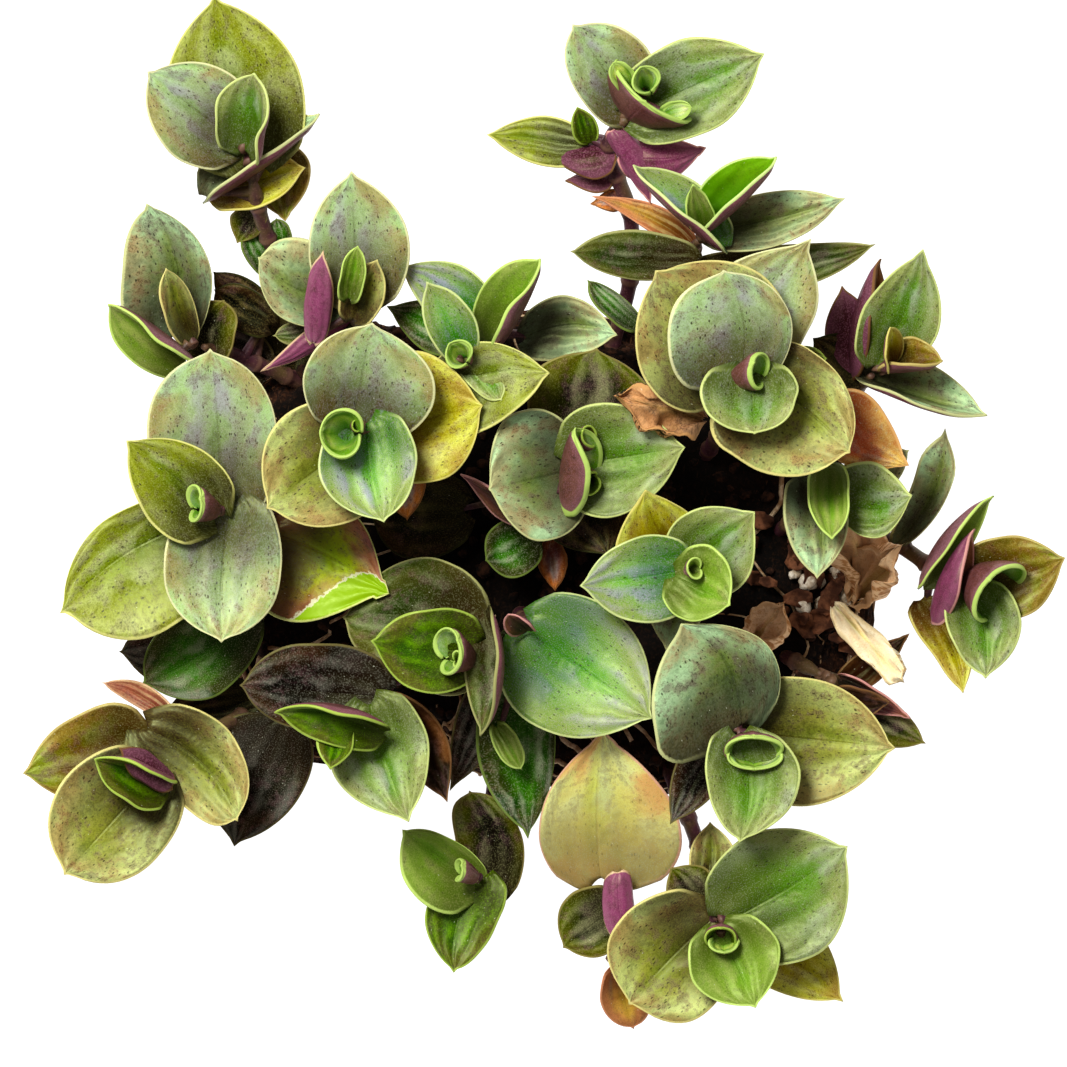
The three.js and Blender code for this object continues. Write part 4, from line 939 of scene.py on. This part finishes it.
             widest=0.37, point=0.92, bend=0.05),
        dict(at=(-25.4, -26.9, 37.3), tip=(-48.5, -25, 40), wide=15.4, cup=22, tone="ink", kind="round",
             widest=0.37, lean=0.11),
        dict(at=(-26.9, -27.4, 35.3), tip=(-14.2, -44.4, 36), wide=9.7, cup=25, tone="umber", widest=0.4,
             lean=-0.08, bend=-0.09),
    ]),
    dict(name="far_left_low", head=(-64.5, -40, 32),
         bends=[(-57, -35, 22), (-48, -30, 15), (-41, -26, 9)], leaves=[
        dict(at=(-60.4, -42, 32), tip=(-72.4, -37.2, 39), wide=14, cup=60, tone="moss", roll=20, fold=40),
        dict(at=(-62.8, -40, 29.8), tip=(-77.6, -56.4, 33), wide=20.9, cup=22, tone="olive", kind="round",
             widest=0.42, lean=0.05),
        dict(at=(-64, -32.4, 27.5), tip=(-48.9, -47.6, 31), wide=15.2, cup=22, tone="olive", kind="round",
             widest=0.25, point=0.4, lean=0.05, bend=-0.12),
        dict(at=(-64.1, -36.3, 26.8), tip=(-84.5, -39.7, 28), wide=17, cup=22, tone="bronze", kind="heart",
             widest=0.24, point=0.78, lean=0.16, bend=-0.02),
        dict(at=(-41.4, -31.3, 17), tip=(-49.7, -52, 16), wide=19, cup=16, tone="ink", widest=0.4, point=0.83,
             lean=0.06, bend=0.07),
        dict(at=(-58, -34, 24.6), tip=(-71.7, -24.7, 22), wide=4.1, cup=25, tone="russet", widest=0.57,
             point=0.67, lean=0.04, bend=0.12),
        # A low, near-black leaf that fills a dark gap under the foliage with painted shade.
        dict(at=(-46, -27.5, 16), tip=(-61.5, -31, 15), wide=9, cup=20, tone="night", kind="round"),
        dict(at=(-59.6, -41.6, 34), tip=(-68.4, -35.3, 38.2), wide=6.5, cup=70, tone="umber", roll=165),
    ]),
    dict(name="small_bottom", head=(-9.5, -57, 26),
         bends=[(-8.8, -53, 17), (-7, -45, 12), (-6, -37, 8.5)], leaves=[
        dict(at=(-9, -57, 26), tip=(-12, -54.8, 31.5), wide=8.5, cup=165, tone="sheath", face=180, flare=1),
        dict(at=(-9.4, -57.9, 24), tip=(-21.7, -49, 28), wide=12.4, cup=25, tone="bright", kind="round",
             widest=0.32, point=0.79, lean=-0.39),
        dict(at=(-8.6, -56.9, 24), tip=(-13.2, -72.8, 25), wide=12.7, cup=22, tone="moss", kind="heart",
             widest=0.3, point=0.69, lean=-0.06, bend=0.11),
        dict(at=(-6.6, -59.6, 20), tip=(-10.7, -42.6, 24), wide=11.7, cup=22, tone="plum", kind="round",
             widest=0.3, point=0.4, lean=-0.21, bend=0.13),
    ]),
    dict(name="yellow_bottom", head=(12.8, -70, 24),
         bends=[(14, -57, 21), (13, -45, 16), (10, -34, 9)], leaves=[
        dict(at=(11.2, -57, 25), tip=(11.5, -32.6, 36), wide=24.1, cup=16, tone="yellow", kind="heart",
             widest=0.29, point=1.01, lean=0.18, bend=-0.03),
        dict(at=(13.9, -61.5, 24), tip=(4.9, -68.7, 22), wide=12.2, cup=25, tone="plum", kind="round",
             widest=0.41, point=0.66, lean=0.05),
        dict(at=(14.6, -72.2, 24), tip=(16.6, -82.2, 18), wide=8.7, cup=25, tone="blush", kind="round",
             widest=0.4, point=0.55, lean=-0.05, bend=0.04),
        dict(at=(14, -56, 29), tip=(16.6, -71, 27), wide=7.5, cup=75, tone="lilac", roll=180, kind="lance",
             bend=-0.06),
    ]),
    dict(name="lower_right", head=(34, -34, 50), bends=[(32, -30, 33), (29, -26, 21), (26, -23, 10)], leaves=[
        dict(at=(35.8, -33.4, 45), tip=(36.2, -33.6, 52.5), wide=17, cup=112, tone="sheath", face=270,
             flare=0.9, flat=0.6),
        dict(down=3, tip=(33.8, -50.8, 50), wide=16.2, cup=26, tone="green", kind="heart", widest=0.37,
             point=0.72, lean=-0.1, bend=-0.1),
        dict(at=(34.2, -31.3, 45), tip=(24.2, -14.8, 50), wide=24.7, cup=20, tone="sage", kind="round",
             widest=0.24, point=0.85, lean=-0.36, bend=0.15),
        dict(at=(32.7, -32.6, 42.3), tip=(59.6, -35.3, 44), wide=21.8, cup=18, tone="olive", kind="heart",
             point=0.76, lean=0.05),
        dict(down=14, tip=(22.5, -48, 38), wide=9, cup=25, tone="ink"),
        dict(at=(36.1, -37, 45.5), tip=(36.3, -38.7, 50), wide=15.5, cup=100, tone="sheath", face=90,
             kind="round", flare=0.5, flat=0.55),
    ]),
    dict(name="bottom", head=(31, -66, 42), bends=[(29, -57, 28), (26, -48, 18), (22, -38, 9)], leaves=[
        dict(at=(31, -65, 39), tip=(30.8, -65, 45), wide=9.5, cup=112, tone="moss", face=270, flare=0.9),
        dict(down=2, tip=(36.6, -78.1, 43), wide=16, cup=25, tone="bright", kind="heart"),
        dict(at=(32.1, -63.8, 38.7), tip=(51.7, -51.5, 43), wide=23.1, cup=18, tone="green", kind="heart",
             lean=0.04, bend=0.03),
        dict(at=(29.4, -63.7, 37), tip=(15.7, -77.7, 37), wide=21.8, cup=22, tone="olive", kind="round",
             widest=0.51, point=0.51, bend=0.02),
        dict(down=9, tip=(51.2, -77.4, 32), wide=14.1, cup=18, tone="mustard", kind="heart", lean=-0.04,
             bend=-0.02),
        dict(at=(28.1, -61, 32), tip=(22.6, -55.2, 33), wide=8.8, cup=20, tone="plum"),
        dict(down=15, tip=(29.2, -47.7, 28), wide=7.9, cup=20, tone="olive", lean=0.04, bend=0.02),
        dict(at=(31.2, -67.6, 39.5), tip=(31.4, -69, 44), wide=8, cup=100, tone="sheath", face=90,
             kind="round", flare=0.5, flat=0.7),
    ]),
    dict(name="dark_right", head=(51, -25, 24), bends=[(47, -23, 19), (43, -21, 15), (39, -19, 9)], leaves=[
        dict(at=(50.3, -26.8, 20), tip=(59.1, -28, 21), wide=7.8, cup=50, tone="umber", roll=-30,
             kind="lance", lean=0.05, bend=0.07),
        dict(at=(50.4, -24, 18.5), tip=(62.6, -30.7, 19), wide=7, cup=50, tone="magenta", roll=-40,
             kind="lance", widest=0.3, point=1.14, lean=0.12, bend=0.02),
        dict(at=(48.7, -25, 17.4), tip=(65.2, -34.9, 16), wide=8.7, cup=22, tone="plum", point=0.7,
             bend=0.04),
        dict(at=(51, -25.5, 15), tip=(62.5, -16.6, 15.5), wide=6.1, cup=25, tone="umber", kind="lance",
             bend=0.02),
    ]),
]


def buildShoot(shoot):
    # The stem, the stalks that reach its leaves, and then each leaf.
    places = [Vector(shoot["head"]), *(Vector(p) for p in shoot["bends"])]
    headEnd = (places[1] - places[0]).length - stemHabit["crown"]
    route = routeThrough(places, stemHabit["stepLength"])
    bases, nodes, stalks = [], [], []
    for leaf in shoot["leaves"]:
        if "down" in leaf:
            down = leaf["down"]
            base = places[0] + (places[1] - places[0]).normalized() * down
        else:
            base = Vector(leaf["at"])
            joint = min(route, key=lambda p: (p - base).length)
            down = (joint - places[0]).length
            stalks.append((joint, leaf, base))
        bases.append(base)
        nodes.append(shoot["name"] + ("_leaves" if down < headEnd else "_stem"))

    whole = newWhole()
    bare = [p for p in route if (p - places[0]).length > stemHabit["start"]]
    addTube(whole, bare, stemRadii(bare), stemHabit["sides"])
    for joint, leaf, base in stalks:
        flipped = abs(leaf.get("roll", 0)) >= stalkHabit["flipped"]
        under = stalkHabit["sunk"] if flipped else -stalkHabit["sunk"]
        end = Blade(leaf, base).at(stalkHabit["reach"], 0, under)
        length = (end - joint).length
        if length < stalkHabit["shortest"]:
            continue
        sag = Vector((0, 0, -stalkHabit["sag"] * length))
        path = routeThrough([joint, (joint + end) / 2 + sag, end], stalkHabit["stepLength"])
        radii = [stalkHabit["radius"] - stalkHabit["taper"] * i / len(path) for i in range(len(path))]
        addTube(whole, path, radii, stalkHabit["sides"])
    settle(finished(shoot["name"] + "_stalk", whole, stemMaterial), shoot["name"] + "_stem")

    for i, (leaf, base, node) in enumerate(zip(shoot["leaves"], bases, nodes)):
        settle(bladePiece(f"{shoot['name']}_leaf_{i + 1}", leaf, base), node)


for shoot in shoots:
    buildShoot(shoot)
print("shoots made:", len(shoots))


padHabit = dict(
    height=16,
    radii=(58, 52, 45, 40, 38, 38, 41, 54, 55, 50, 57, 58, 41, 42, 44, 50, 55, 60),  # every 20 degrees
    side=((0, 0), (0.5, 0), (0.94, 0), (1, 0.25), (0.97, 0.6), (0.86, 0.86), (0.55, 0.97), (0, 1)),
    topFrom=0.43,  # the share of the way round the side's line at which the top begins
    lump=0.07,  # how much the height varies round the pad
    crumb=1.1,  # depth of the rough surface
    dark="#160d08",
    light="#3b2417",
    grain="#5b3a24",
    fibre="#8a6442",
    underLeafShade="#0b0906",
    underLeafShadeFrom=9,  # the top is painted darker, as the shade under the foliage, from this height to the next
    underLeafShadeTo=14,
)


def padRadius(angle):
    radii = padHabit["radii"]
    turn = angle / math.radians(360 / len(radii)) % len(radii)
    k = int(turn)
    t = turn - k
    t = t * t * (3 - 2 * t)
    return radii[k] * (1 - t) + radii[(k + 1) % len(radii)] * t


def padPoint(angle, share):
    # share runs from 0 at the middle of the underside, round the edge, to 1 at the middle of the top.
    side = padHabit["side"]
    reach = share * (len(side) - 1)
    k = min(int(reach), len(side) - 2)
    t = reach - k
    out = side[k][0] * (1 - t) + side[k + 1][0] * t
    high = (side[k][1] * (1 - t) + side[k + 1][1] * t) * padHabit["height"]
    high *= 1 + padHabit["lump"] * math.sin(5 * angle + 6 * out)
    return Vector((math.cos(angle) * out * padRadius(angle), math.sin(angle) * out * padRadius(angle), high))


def padTop(x, y):
    # The height of the pad's upper side, found by halving.
    angle = math.atan2(y, x)
    out = min(1, math.hypot(x, y) / padRadius(angle))
    low, high = padHabit["topFrom"], 1
    for _ in range(24):
        middle = (low + high) / 2
        point = padPoint(angle, middle)
        if math.hypot(point.x, point.y) > out * padRadius(angle):
            low = middle
        else:
            high = middle
    return padPoint(angle, low).z


def outward(point):
    return Vector((point.x, point.y, 0)).normalized()


def soilFinish():
    r = Recipe("peaty_soil")
    spot = r.here()
    clods = r.cloud(spot, 260, 5, 0.65)
    grain = r.cloud(spot, 1500, 3, 0.6)
    fibres = r.cloud(r.stretched(spot, (1, 0.25, 1)), 1900, 2)
    # Painted shade: the pad's top is nearly black where the foliage overshadows it.
    underLeafShade = (r.part(spot, "Z") * 1000).rise(padHabit["underLeafShadeFrom"], padHabit["underLeafShadeTo"])
    colour = r.blend(clods.rise(0.42, 0.62), tint(padHabit["dark"]), tint(padHabit["light"]))
    colour = r.blend(grain.rise(0.5, 0.68) * 0.8, colour, tint(padHabit["grain"]))
    colour = r.blend(fibres.rise(0.62, 0.72) * 0.6, colour, tint(padHabit["fibre"]))
    colour = r.blend(underLeafShade * 0.85, colour, tint(padHabit["underLeafShade"]))
    r.set(colour=colour, roughness=0.92, specular=0.2)
    r.bump(clods * 0.6 + grain * 0.4, 0.8, 0.8 * mm)
    return r.material


def plainFinish(name, dark, light, scale, roughness=0.8):
    r = Recipe(name)
    spot = r.here()
    blotch = r.cloud(spot, scale, 4, 0.6)
    grain = r.cloud(spot, scale * 6, 2)
    colour = r.blend(blotch.rise(0.38, 0.64), tint(dark), tint(light))
    colour = r.blend(grain.rise(0.56, 0.72) * 0.5, colour, tint(dark))
    r.set(colour=colour, roughness=roughness, specular=0.3)
    r.bump(blotch * 0.5 + grain * 0.5, 0.6, 0.3 * mm)
    return r.material


soilMaterial = soilFinish()
rootMaterial = plainFinish("root_skin", "#8f6f4c", "#d9c3a0", 420)
crumbMaterial = plainFinish("soil_crumb", "#150c07", "#4a2f1e", 700, 0.95)
grainMaterial = plainFinish("pale_grit", "#b9a78c", "#efe6d2", 900, 0.7)
litterMaterial = plainFinish("leaf_litter", "#482a1a", "#8a5c3f", 300, 0.85)

bm = bmesh.new()
bmesh.ops.create_icosphere(bm, subdivisions=6, radius=1)
for vert in bm.verts:
    angle = math.atan2(vert.co.y, vert.co.x)
    share = math.acos(max(-1, min(1, -vert.co.z))) / math.pi
    point = padPoint(angle, share)
    rough = padHabit["crumb"] * (noise.fractal(point * 0.16, 1.0, 2.0, 5) + 0.5 * noise.noise(point * 0.9))
    inward = outward(point) if point.length > 1 else Vector()
    edge = min(1, share * 2.2) ** 3  # the underside's middle isn't drawn in
    point -= inward * (rough + padHabit["crumb"]) * edge
    point.z = max(0, point.z - (rough * 0.9 + 1) * min(1, point.z / 3))
    vert.co = point * mm
bmesh.ops.recalc_face_normals(bm, faces=bm.faces[:])
settle(finished("soil_block", bm, soilMaterial), "soil_pad")

rootHabit = dict(
    count=90,
    places=16,
    start=(0.3, 0.75),  # share of the way round the pad's side
    span=(0.06, 0.9),
    drift=0.05,
    rise=0.03,
    wander=(0.035, 0.025),  # sideways and up at each place, beside the root's own drift and rise
    sunk=(0.6, 1.5),
    thick=(0.25, 0.6),
    taper=0.6,
    sides=5,
    stepLength=1.6,
    lowest=0.7,
)


def either(most):
    return dice.uniform(-most, most)


whole = newWhole()
for _ in range(rootHabit["count"]):
    angle = dice.uniform(0, 2 * math.pi)
    share = dice.uniform(*rootHabit["start"])
    drift = either(rootHabit["drift"])
    rise = either(rootHabit["rise"])
    turning, climbing = rootHabit["wander"]
    lowest, highest = rootHabit["span"]
    points = []
    for i in range(rootHabit["places"]):
        angle += drift + either(turning)
        share = max(lowest, min(highest, share + rise + either(climbing)))
        point = padPoint(angle, share)
        point -= outward(point) * dice.uniform(*rootHabit["sunk"])
        point.z = max(rootHabit["lowest"], point.z - 0.6)
        points.append(point)
    thick = dice.uniform(*rootHabit["thick"])
    path = routeThrough(points, rootHabit["stepLength"])
    radii = [thick * (1 - rootHabit["taper"] * i / len(path)) for i in range(len(path))]
    addTube(whole, path, radii, rootHabit["sides"])
settle(finished("fine_roots", whole, rootMaterial), "soil_pad")


def tumble(tilt):
    # Any heading, and a random tilt of up to so many radians.
    heading = Matrix.Rotation(dice.uniform(0, roundTurn), 4, "Z")
    return heading @ Matrix.Rotation(either(tilt), 4, "X")


def addLump(whole, centre, size, squash, subdivisions=2, rough=0.5):
    bm = bmesh.new()
    bmesh.ops.create_icosphere(bm, subdivisions=subdivisions, radius=1)
    seed = Vector((dice.random(), dice.random(), dice.random())) * 40
    for vert in bm.verts:
        vert.co *= size * (1 + rough * noise.noise(vert.co * 1.3 + seed))
    shape = Matrix.Diagonal((1, dice.uniform(0.7, 1), squash, 1))
    bm.transform(Matrix.Translation(centre) @ tumble(0.6) @ shape)
    gather(whole, bm)


crumbHabit = dict(count=420, share=(0.44, 0.97), size=(0.5, 1.7), squash=(0.6, 1), sunk=1.6, lower=0.9)
whole = newWhole()
for _ in range(crumbHabit["count"]):
    angle = dice.uniform(0, 2 * math.pi)
    point = padPoint(angle, dice.uniform(*crumbHabit["share"]))
    size = dice.uniform(*crumbHabit["size"])
    point -= outward(point) * crumbHabit["sunk"]
    point.z = max(size * 0.9, point.z - crumbHabit["lower"])
    addLump(whole, point, size, dice.uniform(*crumbHabit["squash"]))
settle(finished("soil_crumbs", whole, crumbMaterial), "soil_pad")

gritHabit = dict(count=14, x=(41, 55), y=(-17, -3), size=(0.5, 1.2), squash=0.8)
whole = newWhole()
for _ in range(gritHabit["count"]):
    x, y, size = (dice.uniform(*gritHabit[key]) for key in ("x", "y", "size"))
    addLump(whole, Vector((x, y, padTop(x, y) + size * 0.3)), size, gritHabit["squash"])
settle(finished("pale_grit_bits", whole, grainMaterial), "soil_pad")

# Dead leaves on the soil. The last number of at is how far the leaf's foot is above the soil.
deadLeaves = [
    dict(name="crumpled_leaf_a", at=(55.5, -10, 3), tip=(51, 5, 34), wide=12, cup=75, tone="tan", roll=-20,
         ripple=1.5),
    dict(name="crumpled_leaf_b", at=(53.5, -11, 3), tip=(60.5, -2, 33), wide=10, cup=80, tone="tan", roll=25,
         ripple=1.5),
    dict(name="papery_strip", at=(50, -12, 7), tip=(61.3, -24.5, 24), wide=5.2, cup=35, tone="cream",
         widest=0.7, point=0.25, ripple=1.1),
    dict(name="curled_leaf", at=(35.5, -19, 3), tip=(41.5, -11.5, 24), wide=9, cup=120, tone="tan",
         ripple=0.9),
]
for leaf in deadLeaves:
    x, y, lift = leaf["at"]
    base = Vector((x, y, padTop(x, y) + lift))
    settle(bladePiece(leaf["name"] + "_blade", leaf, base), leaf["name"])

granules = dict(radius=1.6, squash=0.9, rough=0.25, places=((45.6, -8.2), (52, -10.4), (44.8, -12.2)))
for i, (x, y) in enumerate(granules["places"]):
    whole = newWhole()
    centre = Vector((x, y, padTop(x, y) + granules["radius"] / 2))
    addLump(whole, centre, granules["radius"], granules["squash"], 4, granules["rough"])
    settle(finished(f"grit_grain_{i + 1}", whole, grainMaterial), f"granule_{i + 1}")

litterHabit = dict(
    count=30,
    middle=(44, -11),
    spread=(6, 7),
    curl=(0.3, 0.9),
    length=(1.2, 3.2),
    slimness=0.6,
    lift=(0.4, 2.5),
    tilt=0.9,
    thickness=0.25,
)
bm = bmesh.new()
for _ in range(litterHabit["count"]):
    x, y = (m + dice.gauss(0, s) for m, s in zip(litterHabit["middle"], litterHabit["spread"]))
    flat = bmesh.ops.create_grid(bm, x_segments=5, y_segments=7, size=1)["verts"]
    seed = dice.random() * 30
    curl = dice.uniform(*litterHabit["curl"])
    for vert in flat:
        vert.co.x *= 1 - 0.5 * abs(vert.co.y) + 0.4 * noise.noise(vert.co * 2 + Vector((0, seed, 0)))
        vert.co.z = curl * vert.co.x**2 + 0.5 * noise.noise(vert.co * 1.6 + Vector((seed, 0, 0)))
    long = dice.uniform(*litterHabit["length"])
    slim = long * litterHabit["slimness"]
    turn = tumble(litterHabit["tilt"])
    move = Matrix.Translation((x, y, padTop(x, y) + dice.uniform(*litterHabit["lift"])))
    bmesh.ops.transform(bm, matrix=move @ turn @ Matrix.Diagonal((slim, long, slim, 1)), verts=flat)
bmesh.ops.solidify(bm, geom=bm.faces[:], thickness=litterHabit["thickness"])
for vert in bm.verts:
    vert.co *= mm
bmesh.ops.recalc_face_normals(bm, faces=bm.faces[:])
settle(finished("dry_litter", bm, litterMaterial), "soil_pad")
print("soil, litter and dead leaves made")


# Metres from here on.
studio = dict(
    floorSide=6,
    floorGrey=0.3,
    floorGlow=0.88,  # the floor shines a little, so that it stays plain and pale
    airStrength=0.3,
    windowPlace=(-0.35, 0.45, 1.0),
    windowAim=(0, 0, 0.03),
    windowSide=0.34,
    windowPower=12,
    frameWidth=0.176,
    foliageHeight=0.0375,
    cameraRise=3.0,
    sensor=36,
    clipStart=0.05,
)
white = (1, 1, 1, 1)

bm = bmesh.new()
bmesh.ops.create_grid(bm, x_segments=1, y_segments=1, size=studio["floorSide"] / 2)
floorRecipe = Recipe("studio_floor")
grey = (*[studio["floorGrey"]] * 3, 1)
floorRecipe.set(colour=grey, roughness=0.9, specular=0.1, glow=white, glowStrength=studio["floorGlow"])
floor = finished("studio_floor", bm, floorRecipe.material)

world = bpy.data.worlds.new("studio_air")
bpy.context.scene.world = world
world.use_nodes = True
air = world.node_tree.nodes["Background"].inputs
air["Color"].default_value = white
air["Strength"].default_value = studio["airStrength"]

light = bpy.data.lights.new("window_light", "AREA")
light.size = studio["windowSide"]
light.energy = studio["windowPower"]
lamp = bpy.data.objects.new("window_light", light)
lamp.location = studio["windowPlace"]
gaze = Vector(studio["windowAim"]) - Vector(studio["windowPlace"])
lamp.rotation_euler = gaze.to_track_quat("-Z", "Y").to_euler()
bpy.context.scene.collection.objects.link(lamp)

cameraData = bpy.data.cameras.new("camera")
camera = bpy.data.objects.new("camera", cameraData)
camera.location = (0, 0, studio["foliageHeight"] + studio["cameraRise"])
cameraData.sensor_width = studio["sensor"]
cameraData.lens = studio["sensor"] * studio["cameraRise"] / studio["frameWidth"]
cameraData.clip_start = studio["clipStart"]
bpy.context.scene.collection.objects.link(camera)
bpy.context.scene.camera = camera
bpy.context.scene.view_settings.view_transform = "Standard"
bpy.context.scene.view_settings.look = "Medium High Contrast"
bpy.context.scene.cycles.use_denoising = True
bpy.context.scene.cycles.diffuse_bounces = 2
bpy.context.scene.cycles.glossy_bounces = 1
print("studio set up")
